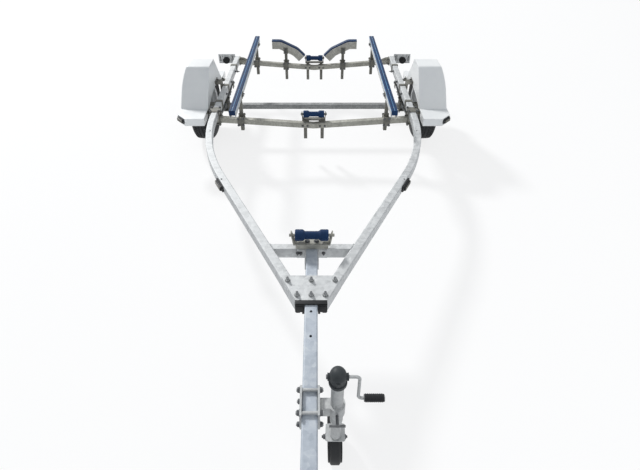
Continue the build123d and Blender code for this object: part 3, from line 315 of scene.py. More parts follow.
def block(mesh, matrix, size, edge):
    """Box with chamfered edges, centred on the matrix."""
    made = bmesh.ops.create_cube(mesh, size=1.0)
    verts = made["verts"]
    scale = Matrix.Diagonal((size[0] * MM, size[1] * MM, size[2] * MM, 1))
    bmesh.ops.transform(mesh, matrix=matrix @ scale, verts=verts)
    edges = list(dict.fromkeys(e for v in verts for e in v.link_edges))
    bmesh.ops.bevel(mesh, geom=edges, offset=edge * MM, segments=2, affect="EDGES", profile=0.6)


def box(mesh, place, size, edge):
    """Block that lies along the axes, centred on a place."""
    block(mesh, frame_at(place), size, edge)


def wall(mesh, low, high):
    """Faces all round between two closed rows of corners."""
    for k, corner in enumerate(low):
        after = (k + 1) % len(low)
        mesh.faces.new((corner, low[after], high[after], high[k]))


def pipe(mesh, points, radius, segments=12, closed=False):
    """Round bar along a row of points."""
    places = [Vector(p) * MM for p in points]
    rows = []
    side = None
    for k, place in enumerate(places):
        before = places[k - 1] if k > 0 or closed else place
        after = places[(k + 1) % len(places)] if k < len(places) - 1 or closed else place
        ahead = (after - before).normalized()
        if side is None:
            side = ahead.orthogonal().normalized()
        side = (side - ahead * side.dot(ahead)).normalized()
        up = ahead.cross(side)
        rows.append([
            mesh.verts.new(place + (side * cos(a) + up * sin(a)) * radius * MM)
            for a in (tau * j / segments for j in range(segments))
        ])
    for here, there in zip(rows, rows[1:]):
        wall(mesh, here, there)
    if closed:
        wall(mesh, rows[-1], rows[0])
    else:
        mesh.faces.new(list(reversed(rows[0])))
        mesh.faces.new(rows[-1])


def washer(mesh, place, axis, radius, thick=WASHER_T):
    edge = 0.4
    face_r = radius - edge
    turned(mesh, frame_at(place, axis), [
        (0, 0), (face_r, 0), (radius, edge), (radius, thick - edge), (face_r, thick), (0, thick),
    ], 24)


def nut(mesh, place, axis, radius, height, spin=0.0):
    """Hexagonal nut or bolt head with a chamfered crown."""
    turned(mesh, frame_at(place, axis, spin), [
        (0, 0), (radius, 0), (radius, height * 0.82), (radius * 0.86, height), (0, height),
    ], HEX)


def thread(mesh, place, axis, radius, length, pitch=1.8):
    """Threaded end with its turns as rings and a chamfered tip."""
    profile = [(0, 0), (radius, 0)]
    height = pitch / 2
    while height < length - pitch:
        profile += [(radius * 0.86, height), (radius, height + pitch / 2)]
        height += pitch
    profile += [(radius * 0.8, length), (0, length)]
    turned(mesh, frame_at(place, axis), profile, 16)


def bolted(mesh, place, axis, radius, length):
    """Washer, nut and threaded end, standing on a face. A length of 0 leaves a bolt's head."""
    place = Vector(place)
    washer(mesh, place, axis, radius * 1.25)
    nut(mesh, place + axis * WASHER_T, axis, radius, radius * 0.85, random.uniform(0, 1))
    if length > 0:
        thread(mesh, place + axis * (WASHER_T + radius * 0.8), axis, radius * 0.55, length)


def weld(mesh, start, end, radius=3.2):
    """Bead of weld with its ripples, from start to end."""
    ripple_step = 3.5
    ripple_half = 2.6
    start, end = Vector(start), Vector(end)
    span = end - start
    count = max(3, int(span.length / ripple_step))
    side = span.orthogonal().normalized()
    for k in range(count + 1):
        place = start + span * (k / count) + side * random.uniform(-0.4, 0.4)
        wide = radius * random.uniform(0.85, 1.1)
        turned(mesh, frame_at(place - span.normalized() * ripple_half, span), [
            (0, 0), (wide * 0.7, 0.8), (wide, ripple_half), (wide * 0.7, 4.4), (0, 2 * ripple_half),
        ], 8)


def both_sides(x, y, z):
    """A place on the right-hand side and its mirror image, each with the sign of its side."""
    for side in SIDES:
        yield (side * x, y, z), side


def piece(name, body, material, build, *values, slot=None):
    """Makes one piece that rides on a body. build fills its mesh, with the values given."""
    mesh = bmesh.new()
    build(mesh, *values)
    bmesh.ops.recalc_face_normals(mesh, faces=mesh.faces)
    for face in mesh.faces:
        face.smooth = True
    for edge in mesh.edges:
        edge.smooth = edge.calc_face_angle(0) < SHARP
    data = bpy.data.meshes.new(name)
    mesh.to_mesh(data)
    mesh.free()
    data.materials.append(material)
    obj = bpy.data.objects.new(name, data)
    scene.collection.objects.link(obj)
    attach(obj, body)
    return obj


def adds(material, body="root", slot=None):
    """Decorator: makes a piece named after its function."""
    def make(build):
        piece(build.__name__, body, material, build, slot=slot)
        return build
    return make


# ---------------- driving dimensions, millimetres
RAIL_X = 808.0
RAIL_HALF = 25.0
RAIL_TOP = 464.0
RAIL_BOTTOM = 399.0
RAIL_MID = (RAIL_TOP + RAIL_BOTTOM) / 2
RAIL_ANGLE = radians(29.3)
RAIL_VERTEX_Y = 478.0  # where the slanted and the straight run would meet
RAIL_REAR_Y = 2205.0
PLATE_FRONT_Y = -880.0
PLATE_T = 8.0
CHANNEL_Y = -550.0  # front face of the front channel
CHANNEL_DEPTH = 35.0
AXLE_Y = 1395.0
TYRE_R = 298.0
TRACK_X = 988.0
BEAM_HALF = 22.5
BEAM_FLAT_END = 60.0  # level end of the front cross-member, from the rail's middle
FRONT_BEAM_DROP = 55.0
REAR_BEAM_MID_Z = 346.0
REAR_BEAM_RISE = 65.0
END_PLATE_T = 6.0
CLAMP_T = 6.0
POST_HALF = 14.0
FRONT_BEAM_Y = 1000.0
REAR_BEAM_Y = RAIL_REAR_Y - BEAM_HALF - 1
FRONT_POST_Y = FRONT_BEAM_Y + BEAM_HALF + POST_HALF
REAR_POST_Y = REAR_BEAM_Y + BEAM_HALF + POST_HALF
TAIL_Y = 2350.0
SKID_X = 603.0
SKID_TOP = 630.0
SKID_STRIP_T = 14.0
SKID_CHANNEL_H = 50.0
SKID_CHANNEL_BOTTOM = SKID_TOP - SKID_STRIP_T - SKID_CHANNEL_H
SKID_FRONT_Y = 674.0
STEM_X = 71.0  # stems under the rollers' brackets
CENTRING_X = 298.0
SPRING_FRONT_Y = AXLE_Y - 330
SPRING_REAR_Y = AXLE_Y + 310
GUARD_IN_X = 888.0
GUARD_OUT_X = 1118.0
GUARD_HALF = 490.0
GUARD_BOTTOM = 370.0
JOCKEY_X = 102.0
JOCKEY_Y = -1336.0
JOCKEY_AXLE = (JOCKEY_X, JOCKEY_Y + 45, 100)
CRANK_Z = 636.0
CRANK_OUT_X = 180.0
CRANK_ARM = 140.0
WINCH_Y = -1920.0
WINCH_Z = 1052.0
BOW_STOP_Z = 925.0


def rail_centre_x(y):
    """Middle of the right-hand rail on its slanted run."""
    return RAIL_X - (RAIL_VERTEX_Y - y) * tan(RAIL_ANGLE)


def front_beam_z(x):
    """Middle of the front cross-member's section."""
    reach = RAIL_X - BEAM_FLAT_END
    return RAIL_BOTTOM - BEAM_HALF - FRONT_BEAM_DROP * (1 - min(abs(x), reach) / reach)


def rear_beam_z(x):
    """Middle of the rear cross-member's section."""
    return REAR_BEAM_MID_Z + REAR_BEAM_RISE * abs(x) / (RAIL_X - RAIL_HALF - END_PLATE_T)


# ---------------- junction of the drawbar and the rails
# x, y of each bolt
plate_bolts = [(0, -852), (66, -852), (-66, -852), (0, -766), (115, -766), (-115, -766)]


@adds(NUT)
def junction_nuts(mesh):
    """Nuts on the upper clamp plate and bolt heads under the lower one."""
    # face of the plate, direction out of it, height of the nut or head
    ends = [(RAIL_TOP + PLATE_T, 1, 9.4), (RAIL_BOTTOM - PLATE_T, -1, 7)]
    for x, y in plate_bolts:
        for face_z, out, height in ends:
            washer(mesh, (x, y, face_z), Z_AXIS * out, 14, 1.6)
            nut(mesh, (x, y, face_z + out), Z_AXIS * out, 11.4, height, random.uniform(0, 1))


@adds(BOLT)
def junction_threads(mesh):
    nut_top = RAIL_TOP + PLATE_T + 10
    for x, y in plate_bolts:
        thread(mesh, (x, y, nut_top), Z_AXIS, 6.4, 13)


@adds(BLACK)
def junction_cap_and_shadow(mesh):
    """Black moulding over the rails' open ends. Its bar across the drawbar's top is painted shadow of the
    plate's front edge, and its scalloped lower edge is painted shade under the plates.
    """
    depth = 22.0
    foot_z = 412.0
    top_z = RAIL_TOP + PLATE_T
    cheek_x = 53
    mid_y = PLATE_FRONT_Y - depth / 2
    # painted shadow: the black bar across the drawbar's top stands in for the plate's shadow on it
    box(mesh, (0, mid_y, RAIL_TOP + 4.6), (150, depth, 8.4), 1.5)
    for side in SIDES:
        cheek = (side * cheek_x, mid_y, (top_z + foot_z) / 2)
        panel = (side * cheek_x, mid_y - depth / 2 - 0.6, (RAIL_TOP + foot_z) / 2)
        box(mesh, cheek, (44, depth, top_z - foot_z), 2.5)
        box(mesh, panel, (32, 2.4, 36), 1)
        # painted shade: dark scallops of the lower edge, where shade falls under the plates
        box(mesh, (side * 37, mid_y, foot_z - 6), (11, depth - 4, 18), 2)
        box(mesh, (side * 62, mid_y, foot_z - 2), (20, depth - 4, 10), 2)


@adds(BOLT)
def channel_bolts(mesh):
    """Bolts through the angle brackets in front of the channel."""
    bracket_t = 6
    for x in (62, -59, -75):
        bolted(mesh, (x, CHANNEL_Y - bracket_t, 440), -Y_AXIS, 8, 8)


@adds(LIT_STEEL)
def channel_welds(mesh):
    """Beads where the channel meets the rails."""
    rear_y = CHANNEL_Y + CHANNEL_DEPTH
    front_x = rail_centre_x(CHANNEL_Y) - RAIL_HALF / cos(RAIL_ANGLE)
    rear_x = rail_centre_x(rear_y) - RAIL_HALF / cos(RAIL_ANGLE)
    for side in SIDES:
        x = side * front_x
        weld(mesh, (x, CHANNEL_Y, RAIL_BOTTOM + 2), (x, CHANNEL_Y, RAIL_TOP - 2))
        for z in (RAIL_TOP, RAIL_BOTTOM):
            weld(mesh, (x, CHANNEL_Y, z), (side * rear_x, rear_y, z))


# ---------------- keel rollers
BOW_ROLLER_Y = CHANNEL_Y + CHANNEL_DEPTH / 2
BOW_ROLLER_Z = 545.0
# body, y of the axis, z of the axis, outer face of the ear, end of the pin
roller_rows = [
    ("bow_roller", BOW_ROLLER_Y, BOW_ROLLER_Z, 105.9, 116.0),
    ("middle_roller", FRONT_POST_Y, 407.0, 99.5, 107.0),
    ("rear_roller", REAR_POST_Y, 437.0, 96.0, 102.0),
]


def roller_ridges(mesh, y, z):
    """Rings round both thick ends of a keel roller and round its waist."""
    for places, section in (
            ((52, 60, 68, 76), ridge(29.6, 30.7, 1.4, 0.9)),
            ((8, 24), ridge(20.6, 21.8, 1.2, 0.7))):
        for x in places:
            for side in SIDES:
                hoop(mesh, (side * x, y, z), section)


def roller_pin(mesh, y, z, ear_x, pin_x, split_pins):
    """Ends of a roller's pin, with its washers and split pins."""
    for side in SIDES:
        out = X_AXIS * side
        if split_pins:
            washer(mesh, (side * ear_x, y, z), out, 12.5)
            split_x = side * (ear_x + 5)
            bent = (split_x - side * 3, y + 4, z - 15)
            pipe(mesh, [(split_x, y, z + 14), (split_x, y, z - 12), bent], 1.6, 8)
        turned(mesh, frame_at((side * (pin_x - 0.5), y, z), out), [
            (0, 0), (8.05, 0), (8.05, 1), (7, 2), (0, 2),
        ])


for body, roller_y, roller_z, ear_x, pin_x in roller_rows:
    piece(f"{body}_ridges", body, BLUE, roller_ridges, roller_y, roller_z)
    split_pins = body != "bow_roller"
    piece(f"{body}_pin", "root", BOLT, roller_pin, roller_y, roller_z, ear_x, pin_x, split_pins)


@adds(BOLT)
def bow_seat_bolts(mesh):
    seat_top = BOW_ROLLER_Z - 48.0 + 5.0
    for x in (-24, 24):
        washer(mesh, (x, BOW_ROLLER_Y, seat_top), Z_AXIS, 14)
        nut(mesh, (x, BOW_ROLLER_Y, seat_top + 1), Z_AXIS, 10.5, 8, 0.3)


# ---------------- skids
SKID_LENGTH = TAIL_Y - SKID_FRONT_Y
SKID_MID_Y = (TAIL_Y + SKID_FRONT_Y) / 2


@adds(HIGHLIGHT_BLUE)
def skid_highlight_lines(mesh):
    """Painted highlight: a light line along the top of each skid, and one along either edge, for the sheen on
    the strip.
    """
    length = SKID_LENGTH - 6
    for (x, y, z), _ in both_sides(SKID_X, SKID_MID_Y, SKID_TOP):
        box(mesh, (x, y, z - 1.4), (3.8, length, 2.4), 0.4)
        for edge in SIDES:
            box(mesh, (x + edge * 23.6, y, z - 9), (1.6, length, 7), 0.4)


@adds(ZINC)
def skid_screws(mesh):
    step = 310
    for y in range(int(SKID_FRONT_Y) + 60, int(TAIL_Y) - 40, step):
        for place, _ in both_sides(SKID_X, y, SKID_TOP - 0.9):
            turned(mesh, frame_at(place), [
                (0, 0), (5.5, 0), (5.0, 0.8), (2.2, 1.0), (1.6, 0.4), (0, 0.4),
            ], 16)


@adds(LIT_STEEL)
def skid_lips(mesh):
    """Rolled lips of the skid's channel, and a seam along each side."""
    length = SKID_LENGTH - 14
    for (x, y, z), _ in both_sides(SKID_X, SKID_MID_Y, SKID_CHANNEL_BOTTOM + 1.5):
        for edge in SIDES:
            box(mesh, (x + edge * 18, y, z), (9, length, 3), 1)
            box(mesh, (x + edge * 22.8, y, z + 24), (1.4, length, 5), 0.5)


@adds(BOLT)
def skid_bolts(mesh):
    """Bolts through the saddles on the posts, threaded ends inwards."""
    bolt_z = SKID_CHANNEL_BOTTOM + 18
    for post_y in (FRONT_POST_Y, REAR_POST_Y):
        for dy in (-17, 17):
            for (x, y, z), side in both_sides(SKID_X, post_y + dy, bolt_z):
                for edge in SIDES:
                    bolted(mesh, (x + edge * 26.5, y, z), X_AXIS * edge, 7.5, 6 if edge == -side else 0)


# ---------------- posts on the cross-members
CLAMP_BOLT_X = 20.0
# x, y of the beam, z of the beam's middle
post_rows = [
    (SKID_X, FRONT_BEAM_Y, front_beam_z(SKID_X)),
    (SKID_X, REAR_BEAM_Y, rear_beam_z(SKID_X)),
    (CENTRING_X, REAR_BEAM_Y, rear_beam_z(CENTRING_X)),
]
stem_rows = [
    (STEM_X, FRONT_BEAM_Y, front_beam_z(STEM_X)),
    (STEM_X, REAR_BEAM_Y, rear_beam_z(STEM_X)),
]
# x, y and z of the lower end of every post and stem
post_feet = [
    (SKID_X, FRONT_POST_Y, 260),
    (SKID_X, REAR_POST_Y, 260),
    (CENTRING_X, REAR_POST_Y, 204),
    (STEM_X, FRONT_POST_Y, 179),
    (STEM_X, REAR_POST_Y, 200),
]


@adds(BOLT)
def clamp_nuts(mesh):
    """Four bolts through each post's clamp, and two through each stem's."""
    front = -BEAM_HALF - CLAMP_T
    rear = BEAM_HALF + 2 * POST_HALF + CLAMP_T
    for x, y, z in post_rows:
        for dz in (-29.5, 29.5):
            for dx in (-CLAMP_BOLT_X, CLAMP_BOLT_X):
                for (px, _, pz), _ in both_sides(x + dx, y, z + dz):
                    bolted(mesh, (px, y + front, pz), -Y_AXIS, 8.5, 5)
                    bolted(mesh, (px, y + rear, pz), Y_AXIS, 8.5, 5)
    for x, y, z in stem_rows:
        for dx in (-CLAMP_BOLT_X, CLAMP_BOLT_X):
            for (px, _, pz), _ in both_sides(x + dx, y, z):
                bolted(mesh, (px, y + front, pz), -Y_AXIS, 6.5, 0)
                bolted(mesh, (px, y + rear, pz), Y_AXIS, 8.5, 5)


@adds(BLACK)
def tube_plugs(mesh):
    """Black plugs in the open ends of the rails, the front cross-member and the posts."""
    plug_t = 3
    beam_end = RAIL_X + RAIL_HALF + plug_t / 2
    for side in SIDES:
        rail_end = (side * RAIL_X, RAIL_REAR_Y + plug_t / 2, RAIL_MID)
        box(mesh, rail_end, (47, plug_t, 62), 1.2)
        box(mesh, (side * beam_end, FRONT_BEAM_Y, RAIL_BOTTOM - BEAM_HALF), (plug_t, 42, 42), 1.2)
        for x, y, z in post_feet:
            box(mesh, (side * x, y, z - plug_t / 2), (27, 27, plug_t), 1)


# ---------------- centring arms
# running face of the right-hand arm, from its outer end down to the middle: x, z
arm_path = [(437.0, 633.0), (344.0, 633.0), (171.0, 547.0), (98.0, 472.0)]
ARM_HALF = 22.5
ARM_BOLT_Z = 526.0
RIB_SIZE = (4.6, 1.2, 62)
RIB_STEP = 13.0
RIB_DEPTH = 52.0  # middle of a rib, below the running face
END_REACH = 8.0  # first and last rib, from the path's ends
BEND_REACH = 28.0  # stretch without evenly spaced ribs on either side of a bend


def arm_places():
    """Point on the arm's running face and the direction along it, for every rib."""
    corners = [Vector((x, 0, z)) for x, z in arm_path]
    runs = [(end - start).normalized() for start, end in zip(corners, corners[1:])]
    for k, along in enumerate(runs):
        start, end = corners[k], corners[k + 1]
        first = END_REACH if k == 0 else BEND_REACH
        last = (end - start).length - (END_REACH if k == len(runs) - 1 else BEND_REACH)
        count = round((last - first) / RIB_STEP)
        for rib in range(count + 1):
            yield start + along * (first + (last - first) * rib / count), along
        if k < len(runs) - 1:
            # one rib across the bend, 2 mm lower than the corner of the path
            halfway = (along + runs[k + 1]).normalized()
            below = Vector((halfway.z, 0, -halfway.x))
            yield end - below * (2.0 if below.z > 0 else -2.0), halfway


@adds(STEEL)
def arm_ribs(mesh):
    """Pressed ribs across both faces of the centring arms. They take the darker STEEL against the arms'
    lighter copy, painted shade that makes them read as dark stripes.
    """
    for place, along in arm_places():
        for side in SIDES:
            ahead = Vector((along.x * side, 0, along.z))
            across = Vector((-ahead.z, 0, ahead.x))
            if across.z < 0:
                across = -across
            middle = Vector((place.x * side, REAR_POST_Y, place.z)) - across * RIB_DEPTH
            turn = Matrix((ahead, Y_AXIS, ahead.cross(Y_AXIS))).transposed().to_4x4()
            for face in SIDES:
                spot = Matrix.Translation((middle + Y_AXIS * face * ARM_HALF) * MM) @ turn
                block(mesh, spot, RIB_SIZE, 0.4)


@adds(BOLT)
def arm_bolts(mesh):
    """Bolts through the saddle's cheeks and the arm."""
    cheek_t = 4
    for side in SIDES:
        for face in SIDES:
            y = REAR_POST_Y + face * (ARM_HALF + cheek_t)
            for dz in (-16, 14):
                bolted(mesh, (side * CENTRING_X, y, ARM_BOLT_Z + dz), Y_AXIS * face, 9, 5)


# ---------------- clamps on the rails
@adds(BOLT)
def rail_nuts(mesh):
    """Nuts of the front clamps, straps, side bolts and rear end plates."""
    inner_x = RAIL_X - RAIL_HALF
    for dx in (-33, 33):
        for dy in (-30.5, 30.5):
            for (x, y, _), _ in both_sides(RAIL_X + dx, FRONT_BEAM_Y + dy, 0):
                bolted(mesh, (x, y, RAIL_TOP + CLAMP_T), Z_AXIS, 8.5, 3)
                bolted(mesh, (x, y, RAIL_BOTTOM - 2 * BEAM_HALF - CLAMP_T), -Z_AXIS, 8.5, 6)
    strap_half = RAIL_HALF + 5
    for strap_y in (1164, 1486, 1961):
        for (x, y, z), side in both_sides(RAIL_X, strap_y, RAIL_BOTTOM - 5):
            bolted(mesh, (x - side * strap_half, y, z), -X_AXIS * side, 7.5, 14)
            nut(mesh, (x + side * strap_half, y, z), X_AXIS * side, 7.5, 5)
    for bolt_y in (1358, 1615, 1862):
        for place, side in both_sides(inner_x, bolt_y, 437):
            bolted(mesh, place, -X_AXIS * side, 9, 18)
    for dy in (-36, 12):
        for dz in (-26, 26):
            for place, side in both_sides(inner_x - END_PLATE_T, REAR_BEAM_Y + dy, 424 + dz):
                bolted(mesh, place, -X_AXIS * side, 8, 6)


@adds(STEEL)
def frame_welds(mesh):
    """Beads at the ends of the rear cross-member and round the spring hangers."""
    end_x = RAIL_X - RAIL_HALF - END_PLATE_T
    beam_top = 433
    hanger_z = RAIL_BOTTOM - 2
    for side in SIDES:
        x = side * end_x
        for y in (REAR_BEAM_Y - BEAM_HALF, REAR_BEAM_Y + BEAM_HALF):
            weld(mesh, (x, y, 390), (x, y, beam_top - 1))
        weld(mesh, (x, REAR_BEAM_Y - 20, beam_top), (x, REAR_BEAM_Y + 20, beam_top))
        for y in (SPRING_FRONT_Y, SPRING_REAR_Y):
            for x in (side * (RAIL_X - 29), side * (RAIL_X + 29)):
                weld(mesh, (x, y - 22, hanger_z), (x, y + 22, hanger_z))


# ---------------- axle and springs
@adds(BOLT)
def spring_fittings(mesh):
    """Nuts of the axle clamps and the spring pins, and the clips round the leaves."""
    plate_bottom = 267.5
    plate_top = 363.2
    for dx in (-30, 30):
        for dy in (-34, 34):
            for (x, y, _), _ in both_sides(RAIL_X + dx, AXLE_Y + dy, 0):
                bolted(mesh, (x, y, plate_bottom), -Z_AXIS, 9, 12)
                bolted(mesh, (x, y, plate_top), Z_AXIS, 9, 8)
    for pin_y, pin_z in ((SPRING_FRONT_Y, 375), (SPRING_REAR_Y, 389)):
        for (x, y, z), side in both_sides(RAIL_X, pin_y, pin_z):
            for edge in SIDES:
                bolted(mesh, (x + edge * 29.5, y, z), X_AXIS * edge, 11, 6 if edge == side else 0)
    clip_w = 18
    clip_t = 3
    for dy in (-150, 150):
        for (x, y, z), _ in both_sides(RAIL_X, AXLE_Y + dy, 349):
            for edge in SIDES:
                box(mesh, (x + edge * 24.5, y, z), (clip_t, clip_w, 28), 0.8)
            box(mesh, (x, y, z - 13), (52, clip_w, clip_t), 0.8)
            pipe(mesh, [(x - 30, y, z + 14), (x + 30, y, z + 14)], 3.5, 10)


# ---------------- mudguards
ARCH_R = 692.0
ARCH_TOP_Z = 486.0
ARCH_CENTRE_Z = ARCH_TOP_Z - ARCH_R
ARCH_HALF = sqrt(ARCH_R ** 2 - (GUARD_BOTTOM - ARCH_CENTRE_Z) ** 2)
CHAMFER = 76.0  # cut corners of the guards' outer ends


def guard_edge(side):
    """Closed line round the guard's lower edge: out along both arches and round both ends."""
    inset = 2
    out_x = GUARD_OUT_X - inset
    in_x = GUARD_IN_X + inset
    end_y = AXLE_Y + GUARD_HALF
    steps = [ARCH_HALF * (2 * k / 36 - 1) for k in range(37)]
    outer = [(out_x, AXLE_Y + y, ARCH_CENTRE_Z + sqrt(ARCH_R ** 2 - y * y)) for y in steps]
    inner = [(in_x, y, z) for _, y, z in reversed(outer)]
    rear = [(out_x, end_y - CHAMFER), (GUARD_OUT_X - CHAMFER, end_y - inset), (in_x, end_y - inset)]
    front = [(x, 2 * AXLE_Y - y) for x, y in reversed(rear)]
    loop = outer + [(x, y, GUARD_BOTTOM) for x, y in rear] + inner + [(x, y, GUARD_BOTTOM) for x, y in front]
    return [(side * x, y, z) for x, y, z in loop]


@adds(WHITE)
def guard_beads(mesh):
    for side in SIDES:
        pipe(mesh, guard_edge(side), 3.6, 10, closed=True)


@adds(BOLT)
def guard_screws(mesh):
    """Screws of the guards' brackets, with domed heads inside the guard."""
    bracket_t = 5
    for bracket_y, shelf_z in ((1066, 405), (1450, 500), (1498, 500), (1731, 405)):
        for (x, y, z), side in both_sides(GUARD_IN_X - bracket_t, bracket_y, shelf_z + 14):
            bolted(mesh, (x, y, z), -X_AXIS * side, 7.5, 7)
            turned(mesh, frame_at((x + side * 9, y, z), X_AXIS * side), [
                (0, 0), (10, 0), (8, 3), (0, 4.5),
            ])


# ---------------- lamps
def on_plane(origin, across, normal):
    """Matrix of a lamp's mounting face: x across it, z out of it."""
    across, normal = Vector(across), Vector(normal)
    turn = Matrix((across, normal.cross(across), normal)).transposed().to_4x4()
    return Matrix.Translation(Vector(origin) * MM) @ turn


def shifted(matrix, x, y, z):
    return matrix @ Matrix.Translation(Vector((x, y, z)) * MM)


def lens(mesh, matrix, width, height, thick, flutes):
    """Moulded lens with upright flutes inside a plain rim."""
    rim = 4
    pitch = (width - 2 * rim) / flutes
    block(mesh, shifted(matrix, 0, 0, thick / 2), (width, height, thick), thick * 0.4)
    for k in range(flutes):
        x = (k + 0.5) * pitch - (width - 2 * rim) / 2
        block(mesh, shifted(matrix, x, 0, thick), (pitch * 0.6, height - 2 * rim, 1.6), 0.6)


def lamp_faces():
    """Every small lamp: its matrix, the lens's size and distance, and its screws' half spacing."""
    corner_x = GUARD_OUT_X - CHAMFER / 2
    corner_y = AXLE_Y - GUARD_HALF + CHAMFER / 2
    diagonal = sin(radians(45))
    marker_y = 49.0
    ahead, aside = cos(RAIL_ANGLE), sin(RAIL_ANGLE)
    marker_x = rail_centre_x(marker_y)
    for side in SIDES:
        guard = on_plane((side * corner_x, corner_y, 403.5),
                         (side * diagonal, diagonal, 0), (side * diagonal, -diagonal, 0))
        yield guard, 72, 24, 17.0, 41
        marker = on_plane((side * (marker_x + RAIL_HALF * ahead), marker_y - RAIL_HALF * aside, RAIL_MID + 4),
                          (side * aside, ahead, 0), (side * ahead, -aside, 0))
        yield marker, 90, 22, 21.0, 54


TAIL_LAMP_X = 925.0
TAIL_LAMP_Z = 436.0
TAIL_LENS_Y = RAIL_REAR_Y + 31.0
# name of each field of the tail lamp, its middle from the lamp's, its width and its material
tail_fields = [
    ("stop", -43.0, 46.0, RED_LENS),
    ("turn", 3.0, 38.0, AMBER_LENS),
    ("plate", 43.0, 34.0, CLEAR_LENS),
]


def tail_field(mesh, shift, width):
    for side in SIDES:
        place = (side * (TAIL_LAMP_X + shift), TAIL_LENS_Y, TAIL_LAMP_Z)
        lens(mesh, on_plane(place, (-1, 0, 0), Y_AXIS), width, 60, 4, 6)


for name, shift, width, material in tail_fields:
    piece(f"tail_lens_{name}", "root", material, tail_field, shift, width)


@adds(SMOKE)
def small_lenses(mesh):
    for matrix, width, height, out, _ in lamp_faces():
        lens(mesh, shifted(matrix, 0, 0, out), width, height, 3.5, 9)


@adds(ZINC)
def small_lamp_screws(mesh):
    for matrix, _, _, _, reach in lamp_faces():
        for x in (-reach, reach):
            turned(mesh, shifted(matrix, x, 0, 9.5), [
                (0, 0), (3.4, 0), (3.0, 1.4), (1.0, 1.6), (0.8, 1.0), (0, 1.0),
            ], 14)


@adds(BLACK)
def tail_plate_holes(mesh):
    """Dark bores of the perforated plate, seen from the front, clear of its two slots."""
    slot_x = 60
    for dx in (-74, -slot_x, -46, 46, slot_x, 74):
        for dz in (-40, -24, -8, 8, 24, 40):
            if abs(dx) == slot_x and abs(dz) < 30:
                continue
            for side in SIDES:
                place = (side * (TAIL_LAMP_X - 5 + dx), RAIL_REAR_Y - 3.9, TAIL_LAMP_Z + dz)
                turned(mesh, frame_at(place, -Y_AXIS), [(0, 0), (4.2, 0), (4.0, 0.5), (0, 0.3)], 14)


@adds(BLACK)
def tail_bosses(mesh):
    """Round back of each tail lamp, with its rim, ribs and cable gland."""
    for side in SIDES:
        centre = (side * TAIL_LAMP_X, RAIL_REAR_Y - 26, TAIL_LAMP_Z - 12)
        matrix = frame_at(centre, -Y_AXIS)
        ring_band(mesh, matrix, [(29, -1), (34.5, -1), (34.5, 4), (32, 6), (29, 6)], 40)
        turned(mesh, matrix, [(0, -1), (24, -1), (22, 5), (9, 6), (9, 13), (6, 14), (6, 20), (0, 20)], 32)
        for k in range(6):
            turn = matrix @ Matrix.Rotation(radians(60 * k), 4, "Z")
            block(mesh, shifted(turn, 25, 0, 2), (10, 2.4, 5), 0.6)


# ---------------- road wheels
TYRE_STEPS = 256
SHOULDER_X = 62.0
GROOVES = (40, 14)  # middles of the outer and inner groove of each half
STUD_CIRCLE_R = 57.15
# sidewall from the bead to the shoulder: half width, radius
sidewall = [
    (58, 165), (61, 167), (65, 176), (70, 188), (75, 202), (78.5, 216), (80.5, 228), (81.6, 231),
    (81.6, 235), (81, 238), (81.4, 248), (80.4, 258), (78, 268), (74, 277), (69, 284.5),
]
# inside of the tyre from the bead to the crown: half width, radius
lining = [(46, 165), (56, 215), (58, 262), (30, 282)]


def tread_line():
    """Half widths across the tread, with the walls of its four grooves."""
    edges = [SHOULDER_X, 52]
    for middle in GROOVES:
        edges += [middle + 3.4, middle + 2.6, middle - 2.6, middle - 3.4]
    return edges + [0]


def tread_radius(x, step):
    """Crown of the tread, cut by the round grooves and by the gaps between its lugs."""
    radius = TYRE_R - 4.5 * (x / SHOULDER_X) ** 2
    if any(abs(x - middle) < 3 for middle in GROOVES):
        return radius - 7
    outer, inner = GROOVES
    shift = 2 if inner < x < outer else 0
    if x > inner and (step + shift) % 4 == 0:
        return radius - 5
    return radius


def tyre_mesh(mesh, centre_x):
    """Treaded tyre and its inside. A radius of None follows the tread."""
    half = sidewall + [(x, None) for x in tread_line()]
    line = [(-x, r) for x, r in half[:-1]] + half[::-1]
    line += lining + [(-x, r) for x, r in lining[::-1]]
    rows = []
    for step in range(TYRE_STEPS):
        angle = tau * step / TYRE_STEPS
        row = []
        for x, r in line:
            radius = tread_radius(abs(x), step) if r is None else r
            y = AXLE_Y + radius * cos(angle)
            z = TYRE_R + radius * sin(angle)
            row.append(mesh.verts.new(Vector((centre_x + x, y, z)) * MM))
        rows.append(row)
    ring_skin(mesh, rows)


def on_wheel(side, x, radius=0, angle=0):
    """Place on a road wheel: x out from its middle plane, and polar about its axle."""
    turn = Vector((0, radius * cos(angle), radius * sin(angle)))
    return Vector((side * (TRACK_X + x), AXLE_Y, TYRE_R)) + turn


def wheel_trim(mesh, side):
    """Hub's ring and cap, five wheel bolts, and a balance weight."""
    out = X_AXIS * side
    ring_band(mesh, frame_at(on_wheel(side, 36), out), ridge(24, 27, 3, 2), 40)
    turned(mesh, frame_at(on_wheel(side, 48), out), [(0, 0), (17, 0), (14, 3), (6, 4.5), (0, 5)], 32)
    for k in range(5):
        place = on_wheel(side, 18, STUD_CIRCLE_R, radians(90 + 72 * k))
        turned(mesh, frame_at(place, out), [
            (0, -2), (9.4, -2), (8.4, 1.5), (5.5, 2.5), (5.5, 6), (4.5, 7), (0, 7),
        ], 18)
    for k in range(7):
        angle = radians(200 + 2.2 * k)
        block(mesh, frame_at(on_wheel(side, 70, 176, angle), out, angle), (10, 6, 6), 1.5)


def valve(mesh, side):
    place = on_wheel(side, 14, 137, radians(54))
    turned(mesh, frame_at(place, X_AXIS * side), [
        (0, -8), (8, -8), (8, 0), (5, 3), (4.2, 22), (5, 23), (5, 33), (4, 35), (0, 35),
    ])


